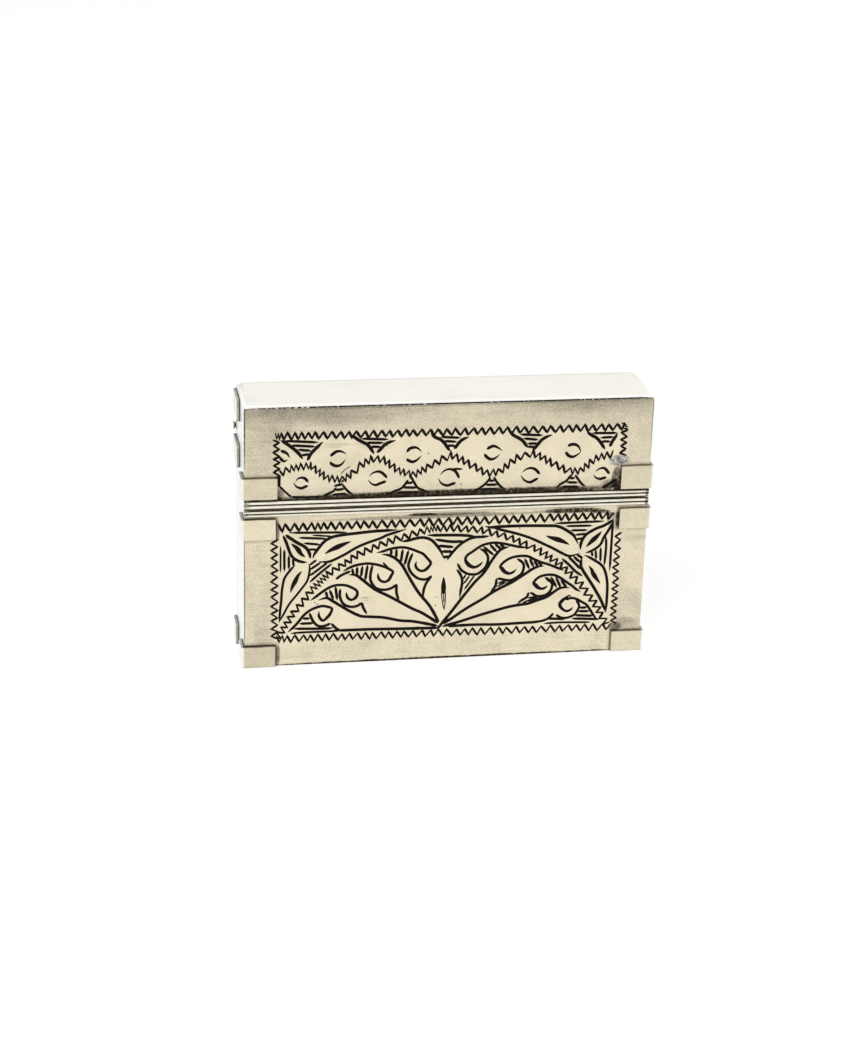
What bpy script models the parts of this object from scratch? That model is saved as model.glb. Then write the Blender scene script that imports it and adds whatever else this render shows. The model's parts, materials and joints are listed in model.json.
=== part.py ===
"""A flat hinged silver case with a reeded rim, corner straps and a lid that tips back on a barrel hinge.

Metres, +Z up. The front looks towards -Y, +X is to its right, and z = 0 is the base that it stands on.
The parting runs low across the front, climbs the ends and meets the hinge high on the back.
"""

import math

import bmesh
import bpy
from mathutils import Vector

# Driving sizes of the whole case
CASE_LENGTH = 0.0950
CASE_DEPTH = 0.0182
CASE_HEIGHT = 0.0642
LID_FRONT_HEIGHT = 0.0249
LID_BACK_HEIGHT = 0.0110
SHEET = 0.0007
CORNER_RADIUS = 0.0012

# Clearances
SEAM = 0.0003
PARTING_GAP = 0.0003
PIN_CLEARANCE = 0.00006

# The parting on the ends: where it leaves the front level and where it reaches the hinge level
CLIMB_START_SHARE = 0.25
CLIMB_END_SHARE = 0.53
CLIMB_FILLET = 0.0015

# Inner flange that the lid closes over
FLANGE_SHEET = 0.0004
FLANGE_RISE = 0.0040
FLANGE_SEAT = 0.0050

# Reeded rim moulding, one strip on each side of the parting
REED_PITCH = 0.00105
REEDS_EACH = 2
REED_PROUD = 0.00030
REED_BACKING = 0.00015

# Straps folded round the upright corners
STRAP_SHEET = 0.00045
STRAP_HEIGHT = 0.0054
STRAP_FACE_LEG = 0.0073
STRAP_FRONT_END_LEG = 0.0050
STRAP_HINGE_END_LEG = 0.0086
STRAP_BASE_END_LEG = 0.0052
STRAP_BEND = 0.0006
STRAP_EDGE = 0.00008
LID_STRAP_DROP = 0.0015

# Barrel hinge along the back
KNUCKLE_RADIUS = 0.0012
KNUCKLE_FOOT_SHEET = 0.00045
KNUCKLE_FOOT_REACH = 0.0002
BODY_KNUCKLES = ("left", "middle", "right")
LID_KNUCKLES = ("left", "right")
PIN_RADIUS = 0.0006
PIN_HEAD_RADIUS = 0.00095
PIN_HEAD_THICKNESS = 0.0004
PIN_HEAD_DOME = 0.00015

# Counts of flats on round shapes, and the angles past which an edge is shaded sharp or is filed
CORNER_STEPS = 5
REED_STEPS = 6
ROUND_STEPS = 32
SHARP_ANGLE = math.radians(35.0)
FILED_ANGLE = math.radians(50.0)

# Places that follow from the sizes
FRONT_PROUD = SEAM + max(STRAP_SHEET, REED_BACKING + REED_PROUD)
HINGE_OUT = SEAM + KNUCKLE_RADIUS
FRONT_Y = -(CASE_DEPTH + HINGE_OUT + KNUCKLE_RADIUS - FRONT_PROUD) / 2
BACK_Y = FRONT_Y + CASE_DEPTH
RIM_Z = CASE_HEIGHT - LID_FRONT_HEIGHT
HINGE_Z = CASE_HEIGHT - LID_BACK_HEIGHT
HINGE_Y = BACK_Y + HINGE_OUT
HALF_LENGTH = CASE_LENGTH / 2
INSIDE_X = HALF_LENGTH - SHEET
INSIDE_FRONT_Y = FRONT_Y + SHEET
INSIDE_BACK_Y = BACK_Y - SHEET
STRIP_FRONT_Y = INSIDE_FRONT_Y + SEAM
STRIP_BACK_Y = INSIDE_BACK_Y - SEAM
MOULDING_HEIGHT = REEDS_EACH * REED_PITCH
BARREL_FOOT = KNUCKLE_RADIUS + KNUCKLE_FOOT_REACH
KNUCKLES = len(BODY_KNUCKLES) + len(LID_KNUCKLES)
KNUCKLE_LENGTH = (CASE_LENGTH - (KNUCKLES - 1) * SEAM) / KNUCKLES
LEFT, RIGHT = -1, 1
FRONT, BACK = -1, 1


def clear_scene():
    for thing in list(bpy.data.objects):
        bpy.data.objects.remove(thing)


def silver(name, colour, roughness):
    """Warm worn silver with its own tone."""
    material = bpy.data.materials.new(name)
    material.use_nodes = True
    shader = material.node_tree.nodes["Principled BSDF"]
    shader.inputs["Base Color"].default_value = (*colour, 1.0)
    shader.inputs["Metallic"].default_value = 1.0
    shader.inputs["Roughness"].default_value = roughness
    return material


def empty(name, place):
    """A plain pivot that pieces hang from."""
    pivot = bpy.data.objects.new(name, None)
    pivot.location = place
    bpy.context.scene.collection.objects.link(pivot)
    return pivot


def finish(name, mesh_data, material, pivot, place):
    """Makes the piece from its mesh and puts it at a world place, under its pivot."""
    mesh_data.normal_update()
    bmesh.ops.recalc_face_normals(mesh_data, faces=mesh_data.faces)
    mesh = bpy.data.meshes.new(name)
    mesh_data.to_mesh(mesh)
    mesh_data.free()
    mesh.materials.append(material)
    piece = bpy.data.objects.new(name, mesh)
    bpy.context.scene.collection.objects.link(piece)
    piece.parent = pivot
    piece.location = Vector(place) - pivot.location
    return piece


def arc(centre, radius, start, end, steps):
    """Points of an arc in a plane, angles in radians."""
    points = []
    for i in range(steps + 1):
        angle = start + (end - start) * i / steps
        points.append((centre[0] + radius * math.cos(angle), centre[1] + radius * math.sin(angle)))
    return points


def rounded(corner, before, after, radius, steps=CORNER_STEPS):
    """The arc that replaces a corner between two straight runs."""
    corner, before, after = Vector(corner), Vector(before), Vector(after)
    inward, outward = (before - corner).normalized(), (after - corner).normalized()
    half = inward.angle(outward) / 2
    centre = corner + (inward + outward).normalized() * (radius / math.sin(half))
    first = corner + inward * (radius / math.tan(half)) - centre
    turn = first.angle_signed(corner + outward * (radius / math.tan(half)) - centre)
    start = math.atan2(first.y, first.x)
    return arc(centre, radius, start, start - turn, steps)


def prism(outline, axis, length, holes=()):
    """A closed solid from a flat outline, pushed along X, Y or Z by length from zero.
    The outline's two numbers are the other two axes, in X, Y, Z order."""
    mesh_data = bmesh.new()
    edges = []
    for loop in (outline, *holes):
        corners = []
        for u, v in loop:
            place = [u, v]
            place.insert("XYZ".index(axis), 0.0)
            corners.append(mesh_data.verts.new(place))
        for here, there in zip(corners, corners[1:] + corners[:1]):
            edges.append(mesh_data.edges.new((here, there)))
    if holes:
        faces = bmesh.ops.triangle_fill(mesh_data, edges=edges, use_beauty=True)["geom"]
        faces = [item for item in faces if isinstance(item, bmesh.types.BMFace)]
    else:
        faces = bmesh.ops.contextual_create(mesh_data, geom=edges)["faces"]
    pushed = bmesh.ops.extrude_face_region(mesh_data, geom=faces, use_keep_orig=True)["geom"]
    push = [0.0, 0.0, 0.0]
    push["XYZ".index(axis)] = length
    moved = [item for item in pushed if isinstance(item, bmesh.types.BMVert)]
    bmesh.ops.translate(mesh_data, verts=moved, vec=push)
    return mesh_data


def smooth(piece):
    piece.data.shade_smooth()
    piece.data.set_sharp_from_angle(angle=SHARP_ANGLE)


def rim_line(shift, start_y, end_y, fillet):
    """The parting as seen on an end, from front to back, moved up by shift square to itself."""
    climb_start = Vector((FRONT_Y + CLIMB_START_SHARE * CASE_DEPTH, RIM_Z))
    climb_end = Vector((FRONT_Y + CLIMB_END_SHARE * CASE_DEPTH, HINGE_Z))
    slope = math.atan2(climb_end.y - climb_start.y, climb_end.x - climb_start.x)
    slide = shift * math.tan(slope / 2)
    low = Vector((climb_start.x - slide, climb_start.y + shift))
    high = Vector((climb_end.x - slide, climb_end.y + shift))
    front = Vector((start_y, low.y))
    back = Vector((end_y, high.y))
    if not fillet:
        return [front, low, high, back]
    return [
        front,
        *rounded(low, front, high, fillet - shift),
        *rounded(high, low, back, fillet + shift),
        back,
    ]


def panel(name, base_z, top_z, face_y, inward, round_base, material, pivot):
    """A flat sheet that covers the full length, with two of its corners rounded."""
    height = top_z - base_z
    low_left, low_right = (-HALF_LENGTH, 0.0), (HALF_LENGTH, 0.0)
    high_right, high_left = (HALF_LENGTH, height), (-HALF_LENGTH, height)
    if round_base:
        outline = [
            *rounded(low_left, high_left, low_right, CORNER_RADIUS),
            *rounded(low_right, low_left, high_right, CORNER_RADIUS),
            high_right,
            high_left,
        ]
    else:
        outline = [
            low_left,
            low_right,
            *rounded(high_right, low_right, high_left, CORNER_RADIUS),
            *rounded(high_left, high_right, low_left, CORNER_RADIUS),
        ]
    mesh_data = prism(outline, "Y", inward * SHEET)
    return finish(name, mesh_data, material, pivot, (0.0, face_y, base_z))


def closed_band():
    """The strip that would wrap the whole case, before the parting is sawn."""
    loops = []
    for inset in (0.0, SHEET):
        x, low, high = HALF_LENGTH - inset, inset, CASE_HEIGHT - inset
        corners = [(-x, low), (x, low), (x, high), (-x, high)]
        loop = []
        for i, corner in enumerate(corners):
            loop += rounded(corner, corners[i - 1], corners[(i + 1) % 4], CORNER_RADIUS - inset)
        loops.append(loop)
    mesh_data = prism(loops[0], "Y", STRIP_BACK_Y - STRIP_FRONT_Y, holes=loops[1:])
    bmesh.ops.translate(mesh_data, verts=mesh_data.verts, vec=(0.0, STRIP_FRONT_Y, 0.0))
    return mesh_data


def wrap_strip(name, keep_above, material, pivot):
    """The half of the band that lies above or below the parting, left by a saw as wide as its gap."""
    overrun = CASE_DEPTH
    side = 1 if keep_above else -1
    line = rim_line(side * PARTING_GAP / 2, FRONT_Y - overrun, BACK_Y + overrun, CLIMB_FILLET)
    far_z = -overrun if keep_above else CASE_HEIGHT + overrun
    outline = [*line, (BACK_Y + overrun, far_z), (FRONT_Y - overrun, far_z)]
    saw_data = prism(outline, "X", CASE_LENGTH + 2 * overrun)
    bmesh.ops.translate(saw_data, verts=saw_data.verts, vec=(-HALF_LENGTH - overrun, 0.0, 0.0))
    saw = finish(name + "_saw", saw_data, material, pivot, (0.0, 0.0, 0.0))
    saw.hide_render = True
    saw.display_type = "WIRE"
    strip = finish(name, closed_band(), material, pivot, (0.0, 0.0, 0.0))
    cut = strip.modifiers.new("parting", "BOOLEAN")
    cut.operation = "DIFFERENCE"
    cut.solver = "EXACT"
    cut.object = saw
    return strip


def moulding(name, base_z, material, pivot):
    """A strip of half-round reeds that lies along the front beside the parting."""
    outline = [(0.0, 0.0), (0.0, MOULDING_HEIGHT)]
    half = REED_PITCH / 2
    for reed in reversed(range(REEDS_EACH)):
        middle = reed * REED_PITCH + half
        for i in range(REED_STEPS + 1):
            angle = math.pi * i / REED_STEPS
            bulge = REED_PROUD * math.sin(angle)
            if reed < REEDS_EACH - 1 and i == 0:
                continue
            outline.append((-REED_BACKING - bulge, middle + half * math.cos(angle)))
    mesh_data = prism(outline, "X", CASE_LENGTH)
    piece = finish(name, mesh_data, material, pivot, (-HALF_LENGTH, FRONT_Y - SEAM, base_z))
    smooth(piece)
    return piece


def strap(name, side, face, base_z, end_leg, material, pivot):
    """A strip folded round an upright corner: one leg on the front or back, one on the end."""
    outer = SEAM + STRAP_SHEET
    leg_end, end_leg_end = -STRAP_FACE_LEG, -end_leg
    fold_in, fold_out = (SEAM, SEAM), (outer, outer)
    inner_bend = STRAP_BEND * SEAM / outer
    outline = [
        (leg_end, SEAM),
        *rounded(fold_in, (leg_end, SEAM), (SEAM, end_leg_end), inner_bend),
        (SEAM, end_leg_end),
        (outer, end_leg_end),
        *rounded(fold_out, (outer, end_leg_end), (leg_end, outer), STRAP_BEND),
        (leg_end, outer),
    ]
    outline = [(side * u, face * v) for u, v in outline]
    mesh_data = prism(outline, "Z", STRAP_HEIGHT)
    corner_y = FRONT_Y if face == FRONT else BACK_Y
    piece = finish(name, mesh_data, material, pivot, (side * HALF_LENGTH, corner_y, base_z))
    edge = piece.modifiers.new("filed_edge", "BEVEL")
    edge.width = STRAP_EDGE
    edge.segments = 1
    edge.limit_method = "ANGLE"
    edge.angle_limit = FILED_ANGLE
    smooth(piece)
    return piece


def front_flange(material, pivot):
    half = INSIDE_X - SEAM
    outline = [(-half, 0.0), (half, 0.0), (half, FLANGE_SHEET), (-half, FLANGE_SHEET)]
    mesh_data = prism(outline, "Z", FLANGE_SEAT + FLANGE_RISE)
    place = (0.0, INSIDE_FRONT_Y + SEAM, RIM_Z - FLANGE_SEAT)
    return finish("front_flange", mesh_data, material, pivot, place)


def end_flange(name, side, material, pivot):
    """A flange that follows the climbing parting on the inside of an end."""
    start_y = INSIDE_FRONT_Y + SEAM + FLANGE_SHEET + SEAM
    end_y = INSIDE_BACK_Y - SEAM
    upper = rim_line(FLANGE_RISE, start_y, end_y, 0.0)
    lower = rim_line(-FLANGE_SEAT, start_y, end_y, 0.0)
    outline = [*lower, *reversed(upper)]
    mesh_data = prism(outline, "X", side * FLANGE_SHEET)
    place_x = side * (INSIDE_X - SEAM - FLANGE_SHEET)
    return finish(name, mesh_data, material, pivot, (place_x, 0.0, 0.0))


def knuckle(name, index, lift, material, pivot):
    """One tube of the barrel, with a narrow foot on the back sheet. The foot points up if lift is 1."""
    start_x = -HALF_LENGTH + index * (KNUCKLE_LENGTH + SEAM)
    foot_inner = -KNUCKLE_RADIUS + KNUCKLE_FOOT_SHEET
    meet = math.acos(foot_inner / KNUCKLE_RADIUS)
    low_arc = arc((0.0, 0.0), KNUCKLE_RADIUS, -meet, 0.0, ROUND_STEPS // 2)
    high_arc = arc((0.0, 0.0), KNUCKLE_RADIUS, 0.0, math.pi, ROUND_STEPS // 2)
    outline = [
        (-KNUCKLE_RADIUS, -BARREL_FOOT),
        (foot_inner, -BARREL_FOOT),
        *low_arc,
        *high_arc[1:],
    ]
    bore = arc((0.0, 0.0), PIN_RADIUS + PIN_CLEARANCE, 0.0, 2 * math.pi, ROUND_STEPS)[:-1]
    outline = [(u, -lift * v) for u, v in outline]
    mesh_data = prism(outline, "X", KNUCKLE_LENGTH, holes=[bore])
    piece = finish(name, mesh_data, material, pivot, (start_x, HINGE_Y, HINGE_Z))
    smooth(piece)
    return piece


def hinge_pin(material, pivot):
    """A wire through every knuckle, with a low riveted head at each end."""
    end = HALF_LENGTH + SEAM
    tip = end + PIN_HEAD_THICKNESS
    shoulder = tip - PIN_HEAD_DOME
    side_of_pin = [
        (-tip, PIN_HEAD_RADIUS - PIN_HEAD_DOME),
        (-shoulder, PIN_HEAD_RADIUS),
        (-end, PIN_HEAD_RADIUS),
        (-end, PIN_RADIUS),
        (end, PIN_RADIUS),
        (end, PIN_HEAD_RADIUS),
        (shoulder, PIN_HEAD_RADIUS),
        (tip, PIN_HEAD_RADIUS - PIN_HEAD_DOME),
    ]
    mesh_data = bmesh.new()
    rings = []
    for x, radius in side_of_pin:
        circle = arc((0.0, 0.0), radius, 0.0, 2 * math.pi, ROUND_STEPS)[:-1]
        rings.append([mesh_data.verts.new((x, y, z)) for y, z in circle])
    mesh_data.faces.new(rings[0])
    mesh_data.faces.new(rings[-1])
    for near, far in zip(rings, rings[1:]):
        for i in range(ROUND_STEPS):
            j = (i + 1) % ROUND_STEPS
            mesh_data.faces.new((near[i], near[j], far[j], far[i]))
    piece = finish("hinge_pin", mesh_data, material, pivot, (0.0, HINGE_Y, HINGE_Z))
    smooth(piece)
    return piece


def side_name(side):
    return "left" if side == LEFT else "right"


def build_body(engraved, plain, fittings, inside, pivot):
    rim_top = RIM_Z - PARTING_GAP / 2
    back_top = HINGE_Z - PARTING_GAP / 2
    panel("body_front_panel", 0.0, rim_top, FRONT_Y, 1, True, engraved, pivot)
    panel("body_back_panel", 0.0, back_top, BACK_Y, -1, True, plain, pivot)
    wrap_strip("body_wrap_strip", False, plain, pivot)
    moulding_base = rim_top - MOULDING_HEIGHT
    moulding("body_rim_moulding", moulding_base, fittings, pivot)
    front_upper = moulding_base - SEAM - STRAP_HEIGHT
    back_upper = HINGE_Z - BARREL_FOOT - SEAM - STRAP_HEIGHT
    for side in (LEFT, RIGHT):
        end = side_name(side)
        strap(f"body_front_upper_strap_{end}", side, FRONT, front_upper, STRAP_FRONT_END_LEG, fittings, pivot)
        strap(f"body_front_lower_strap_{end}", side, FRONT, 0.0, STRAP_FRONT_END_LEG, fittings, pivot)
        strap(f"body_back_upper_strap_{end}", side, BACK, back_upper, STRAP_HINGE_END_LEG, fittings, pivot)
        strap(f"body_back_lower_strap_{end}", side, BACK, 0.0, STRAP_BASE_END_LEG, fittings, pivot)
        end_flange(f"{end}_flange", side, inside, pivot)
    front_flange(inside, pivot)
    for order, place in enumerate(BODY_KNUCKLES):
        knuckle(f"body_knuckle_{place}", 2 * order, -1, fittings, pivot)
    hinge_pin(fittings, pivot)


def build_lid(engraved, plain, fittings, pivot):
    rim_base = RIM_Z + PARTING_GAP / 2
    back_base = HINGE_Z + PARTING_GAP / 2
    panel("lid_front_panel", rim_base, CASE_HEIGHT, FRONT_Y, 1, False, engraved, pivot)
    panel("lid_back_panel", back_base, CASE_HEIGHT, BACK_Y, -1, False, plain, pivot)
    wrap_strip("lid_wrap_strip", True, plain, pivot)
    moulding("lid_rim_moulding", rim_base, fittings, pivot)
    front_base = rim_base + MOULDING_HEIGHT + SEAM
    back_strap = CASE_HEIGHT - LID_STRAP_DROP - STRAP_HEIGHT
    for side in (LEFT, RIGHT):
        end = side_name(side)
        strap(f"lid_front_strap_{end}", side, FRONT, front_base, STRAP_FRONT_END_LEG, fittings, pivot)
        strap(f"lid_back_strap_{end}", side, BACK, back_strap, STRAP_HINGE_END_LEG, fittings, pivot)
    for order, place in enumerate(LID_KNUCKLES):
        knuckle(f"lid_knuckle_{place}", 2 * order + 1, 1, fittings, pivot)


def main():
    clear_scene()
    engraved = silver("engraved_silver", (0.70, 0.63, 0.50), 0.34)
    plain = silver("plain_silver", (0.73, 0.67, 0.54), 0.32)
    fittings = silver("fittings_silver", (0.75, 0.69, 0.56), 0.28)
    inside = silver("inside_silver", (0.62, 0.56, 0.44), 0.42)
    body_pivot = empty("case_body", (0.0, 0.0, 0.0))
    lid_pivot = empty("lid_hinge_axis", (0.0, HINGE_Y, HINGE_Z))
    bpy.context.view_layer.update()
    build_body(engraved, plain, fittings, inside, body_pivot)
    build_lid(engraved, plain, fittings, lid_pivot)


main()
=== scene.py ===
"""The finish of a flat hinged silver case: engraved front, reeded rim, corner straps and a tipping lid."""

import json
import math

import bmesh
import bpy
from mathutils import Matrix, Vector, noise
from mathutils.geometry import delaunay_2d_cdt


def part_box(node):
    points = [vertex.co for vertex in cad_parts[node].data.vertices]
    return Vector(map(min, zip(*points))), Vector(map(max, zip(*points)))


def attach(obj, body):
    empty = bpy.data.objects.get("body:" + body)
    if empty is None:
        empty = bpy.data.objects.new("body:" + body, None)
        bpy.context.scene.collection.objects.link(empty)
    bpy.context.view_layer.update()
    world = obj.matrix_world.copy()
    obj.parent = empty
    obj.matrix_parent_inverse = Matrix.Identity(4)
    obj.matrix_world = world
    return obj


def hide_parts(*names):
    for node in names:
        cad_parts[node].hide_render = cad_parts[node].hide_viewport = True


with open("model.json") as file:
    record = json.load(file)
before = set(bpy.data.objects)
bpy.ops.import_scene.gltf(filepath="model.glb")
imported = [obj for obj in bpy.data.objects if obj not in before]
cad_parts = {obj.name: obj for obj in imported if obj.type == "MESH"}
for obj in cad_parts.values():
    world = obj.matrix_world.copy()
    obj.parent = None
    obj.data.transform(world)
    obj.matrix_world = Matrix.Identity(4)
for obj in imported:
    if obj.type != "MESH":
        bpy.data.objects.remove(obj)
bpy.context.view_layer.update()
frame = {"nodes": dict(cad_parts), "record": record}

MM = 0.001

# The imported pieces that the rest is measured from
BODY_LOW, BODY_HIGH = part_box("body_front_panel")
LID_LOW, LID_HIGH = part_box("lid_front_panel")
BACK_LOW, BACK_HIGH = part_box("body_back_panel")
STRIP_LOW, STRIP_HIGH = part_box("body_wrap_strip")
LEFT_X, RIGHT_X = BODY_LOW.x, BODY_HIGH.x
FRONT_Y, BACK_Y = BODY_LOW.y, BACK_HIGH.y
TOP_Z = LID_HIGH.z

# The same in millimetres, as the finishes and the engraving are measured
HALF_LENGTH = (RIGHT_X - LEFT_X) / 2 / MM
TOP_MM = TOP_Z / MM

# Sheet and edges, in metres
CORNER_RADIUS = 1.2 * MM
CORNER_STEPS = 8
ROUNDED_EDGE = 0.12 * MM
EDGE_STEPS = 3
SOFT_EDGE = 0.07 * MM
SHARP_ANGLE = math.radians(35.0)
FILED_STEPS = 2

# Straps and reeds, in metres, with counts and the share by which a strip of reeds narrows
STRAP_BEND = 0.65 * MM
STRAP_EDGE = 0.11 * MM
STRAP_SHARP_ANGLE = math.radians(50.0)
STRAP_WAVER = 0.13 * MM
STRAP_STEP = 0.6 * MM
STRAP_ROWS = 6
SOLDER_HOLLOW = 0.03 * MM
REEDS_EACH = 2
REED_SIDES = 12
REED_BACKING = 0.16 * MM
REED_WAVER = 0.018 * MM
REED_LUMP = 90.0
REED_STEP = 0.6 * MM
REED_TRIM = 0.15 * MM
REED_WEDGE = 0.18
FIT = 0.01 * MM

# How fast a strap's edges wander along it and up its legs, and what sets each strap's edges apart
EDGE_DRIFT = 0.35
LEG_DRIFT = 0.4
EDGE_SEED = 3.7
LEG_SEED = 1.9
TOP_EDGE_SEED = 5.0

# Reaches of soot, of painted shade round the straps, and of what shows past the front sheets, in millimetres
STRAP_LINE = 0.32
STRAP_SOOT_AND_SHADE = 1.1
SEAM_SOOT = 0.62
RIM_SHOWN = 0.55
OUTER_SKIN = 0.25

# How much shorter each hand-cut strap is at its bottom, top and front leg, in millimetres,
# how tarnished it is, and how dark the solder line and painted shade round it are
STRAP_CUTS = {
    "lid_front_strap_left": (0.0, 0.15, -0.35, 0.24, 0.5),
    "lid_front_strap_right": (-0.4, 0.0, 0.2, 0.20, 0.35),
    "body_front_upper_strap_left": (0.55, -0.4, 0.0, 0.02, 0.7),
    "body_front_upper_strap_right": (0.05, 0.0, 0.35, 0.15, 0.3),
    "body_front_lower_strap_left": (0.0, 0.1, 0.0, 0.50, 0.9),
    "body_front_lower_strap_right": (0.0, 0.1, 0.0, 0.18, 0.4),
}
HIDDEN_STRAP_CUTS = (0.0, 0.0, 0.0, 0.2, 0.8)

# Engraver's cuts, in millimetres or as shares
CUT_SLOPE = 0.6
CUT_DEEPEST = 0.17
CUT_STEP = 0.45
CUT_TIP = 0.06
CUT_SPREAD = 1.4
TIP_ROUNDNESS = 0.6
LEG_WIDTH = 0.45
WAVE_WIDTH = 0.42
THIN_LEG = 0.38
SEAM_WIDTH = 0.24
WIDE_TOOTH = 1.8
NARROW_EASE = 0.7
LIGHT_LEG = 0.84
HEAVY_LEG = 1.12
TIP_WAVER = 0.10
TIP_LOOK = 0.4
ALONG_SEED = 9
LEG_OVERRUN = 0.13
HATCH_OVERRUN = 0.2
PRICK = 0.32
CELL = 1.0
SAME_PLACE = 1e-5

# Camera, as the case was photographed
CAMERA_LENS = 81.20
CAMERA_PLACE = Vector((-0.095691, -0.509537, 0.232443))
CAMERA_AZIMUTH = math.radians(10.23)
CAMERA_ELEVATION = math.radians(21.26)
CAMERA_ROLL = math.radians(1.64)

# Colours of the front sheets
CLEAN_SILVER = (0.88, 0.787, 0.58, 1.0)
TARNISHED_SILVER = (0.30, 0.27, 0.21, 1.0)
BLACK_DIRT_AND_SHADE = (0.032, 0.022, 0.012, 1.0)
PALE_RIM = (0.95, 0.94, 0.90, 1.0)

# Stains on the front sheets, with painted shade under the body's reeds, beside the straps and along the base,
# in millimetres from the case's lower left corner: the middle, the reach, how much each darkens the sheet
# and how much black it holds
LID_STAINS_AND_SHADE = (
    ((22.0, 63.0), (20.0, 4.2), 0.34, 0.0),
    ((78.0, 64.0), (18.0, 3.4), 0.30, 0.0),
    ((6.0, 59.5), (6.5, 5.0), 0.20, 0.0),
    ((0.0, 58.0), (0.30, 9.0), 0.5, 0.95),
    ((95.0, 57.5), (0.28, 8.5), 0.5, 0.55),
    ((47.0, 63.4), (48.0, 0.45), 0.4, 0.12),
    # dark solder and painted shade beside the right strap
    ((87.0, 44.0), (1.2, 3.4), 0.60, 0.95),
    ((85.6, 42.8), (2.4, 1.2), 0.50, 0.50),
    # dark solder and painted shade beside the left strap
    ((8.3, 43.0), (0.9, 1.9), 0.55, 0.60),
    ((48.0, 41.6), (47.0, 1.20), 0.65, 1.40),
    ((21.5, 54.5), (3.4, 0.45), 0.35, 0.0),
    ((20.3, 53.9), (2.2, 0.25), 0.30, 0.0),
    ((3.0, 52.0), (4.0, 5.0), 0.16, 0.0),
    ((13.5, 54.3), (5.0, 2.2), 0.22, 0.0),
    ((30.0, 54.6), (5.0, 2.2), 0.22, 0.0),
    ((66.3, 54.2), (5.0, 2.4), 0.16, 0.0),
    ((24.0, 49.5), (9.0, 3.0), 0.14, 0.0),
)
BODY_STAINS_AND_SHADE = (
    # painted shade under the reeds across the middle, with some tarnish
    ((44.0, 36.15), (26.0, 0.55), 0.80, 0.22),
    ((41.2, 36.75), (3.4, 0.45), 0.60, 0.80),
    ((48.0, 36.7), (10.5, 0.42), 0.50, 0.62),
    ((4.8, 7.5), (2.6, 3.0), 0.30, 0.0),
    # dark solder and painted shade beside the lower left strap
    ((7.9, 2.8), (0.5, 2.8), 0.50, 0.60),
    # painted shade under the reeds on the right, with an olive tarnish patch
    ((76.5, 36.4), (8.0, 0.70), 0.60, 1.25),
    ((83.6, 35.9), (2.6, 0.55), 0.50, 1.00),
    ((86.0, 35.2), (1.3, 0.60), 0.50, 0.80),
    # dark solder and painted shade beside the upper straps
    ((7.7, 34.1), (0.55, 2.8), 0.55, 0.60),
    ((87.8, 34.0), (0.45, 2.8), 0.55, 0.75),
    ((87.2, 33.4), (1.6, 2.4), 0.45, 0.30),
    ((88.8, 6.3), (1.6, 1.3), 0.50, 0.75),
    ((91.0, 7.3), (3.2, 1.4), 0.35, 0.12),
    # a dark line along the base, painted contact shade
    ((47.5, 0.0), (52.0, 0.6), 0.40, 1.5),
    ((0.0, 19.0), (0.25, 18.0), 0.3, 0.8),
    ((2.5, 18.0), (4.0, 14.0), 0.14, 0.0),
    ((91.5, 10.0), (5.0, 8.0), 0.24, 0.0),
    ((92.0, 29.0), (3.5, 0.8), 0.22, 0.0),
    ((28.3, 16.4), (1.1, 0.3), 0.45, 0.25),
    ((28.6, 15.7), (0.7, 0.25), 0.40, 0.15),
    ((45.2, 15.8), (0.7, 0.2), 0.40, 0.20),
)


class Value:
    """A value in a node tree, so that sums can be written as sums."""

    def __init__(self, board, socket):
        self.board = board
        self.socket = socket

    def sum(self, operation, *values):
        return self.board.add("ShaderNodeMath", {"operation": operation}, values)

    def __add__(self, other):
        return self.sum("ADD", self, other)

    def __radd__(self, other):
        return self.sum("ADD", other, self)

    def __sub__(self, other):
        return self.sum("SUBTRACT", self, other)

    def __rsub__(self, other):
        return self.sum("SUBTRACT", other, self)

    def __mul__(self, other):
        return self.sum("MULTIPLY", self, other)

    def __truediv__(self, other):
        return self.sum("DIVIDE", self, other)

    def __abs__(self):
        return self.sum("ABSOLUTE", self)

    def largest(self, other):
        return self.sum("MAXIMUM", self, other)

    def smallest(self, other):
        return self.sum("MINIMUM", self, other)

    def clamped(self):
        return self.board.add("ShaderNodeClamp", values=(self, 0.0, 1.0))

    def ramp(self, low, high):
        """Goes smoothly from 0 to 1 while this goes from low to high."""
        return self.board.add("ShaderNodeMapRange", {"interpolation_type": "SMOOTHSTEP"}, (self, low, high))


class Board:
    """A node tree, with one way to add a node to it."""

    def __init__(self, tree):
        self.tree = tree

    def add(self, kind, settings=(), values=(), output=0):
        """Adds a node: its settings first, then values or links for its sockets, in order or by name."""
        node = self.tree.nodes.new(kind)
        for key, setting in dict(settings).items():
            setattr(node, key, setting)
        given = values.items() if isinstance(values, dict) else enumerate(values)
        for key, value in given:
            socket = node.inputs[key]
            if isinstance(value, Value):
                self.tree.links.new(value.socket, socket)
            else:
                socket.default_value = value
        return Value(self, node.outputs[output]) if node.outputs else None

    def blend(self, factor, low, high):
        """A colour between two colours."""
        return self.add("ShaderNodeMix", {"data_type": "RGBA"}, {0: factor, 6: low, 7: high}, output=2)

    def vector(self, operation, *values):
        """A sum with vectors."""
        return self.add("ShaderNodeVectorMath", {"operation": operation}, values)

    def scaled(self, vector, factor):
        """A vector made longer or shorter."""
        return self.add("ShaderNodeVectorMath", {"operation": "SCALE"}, {"Vector": vector, "Scale": factor})


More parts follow.
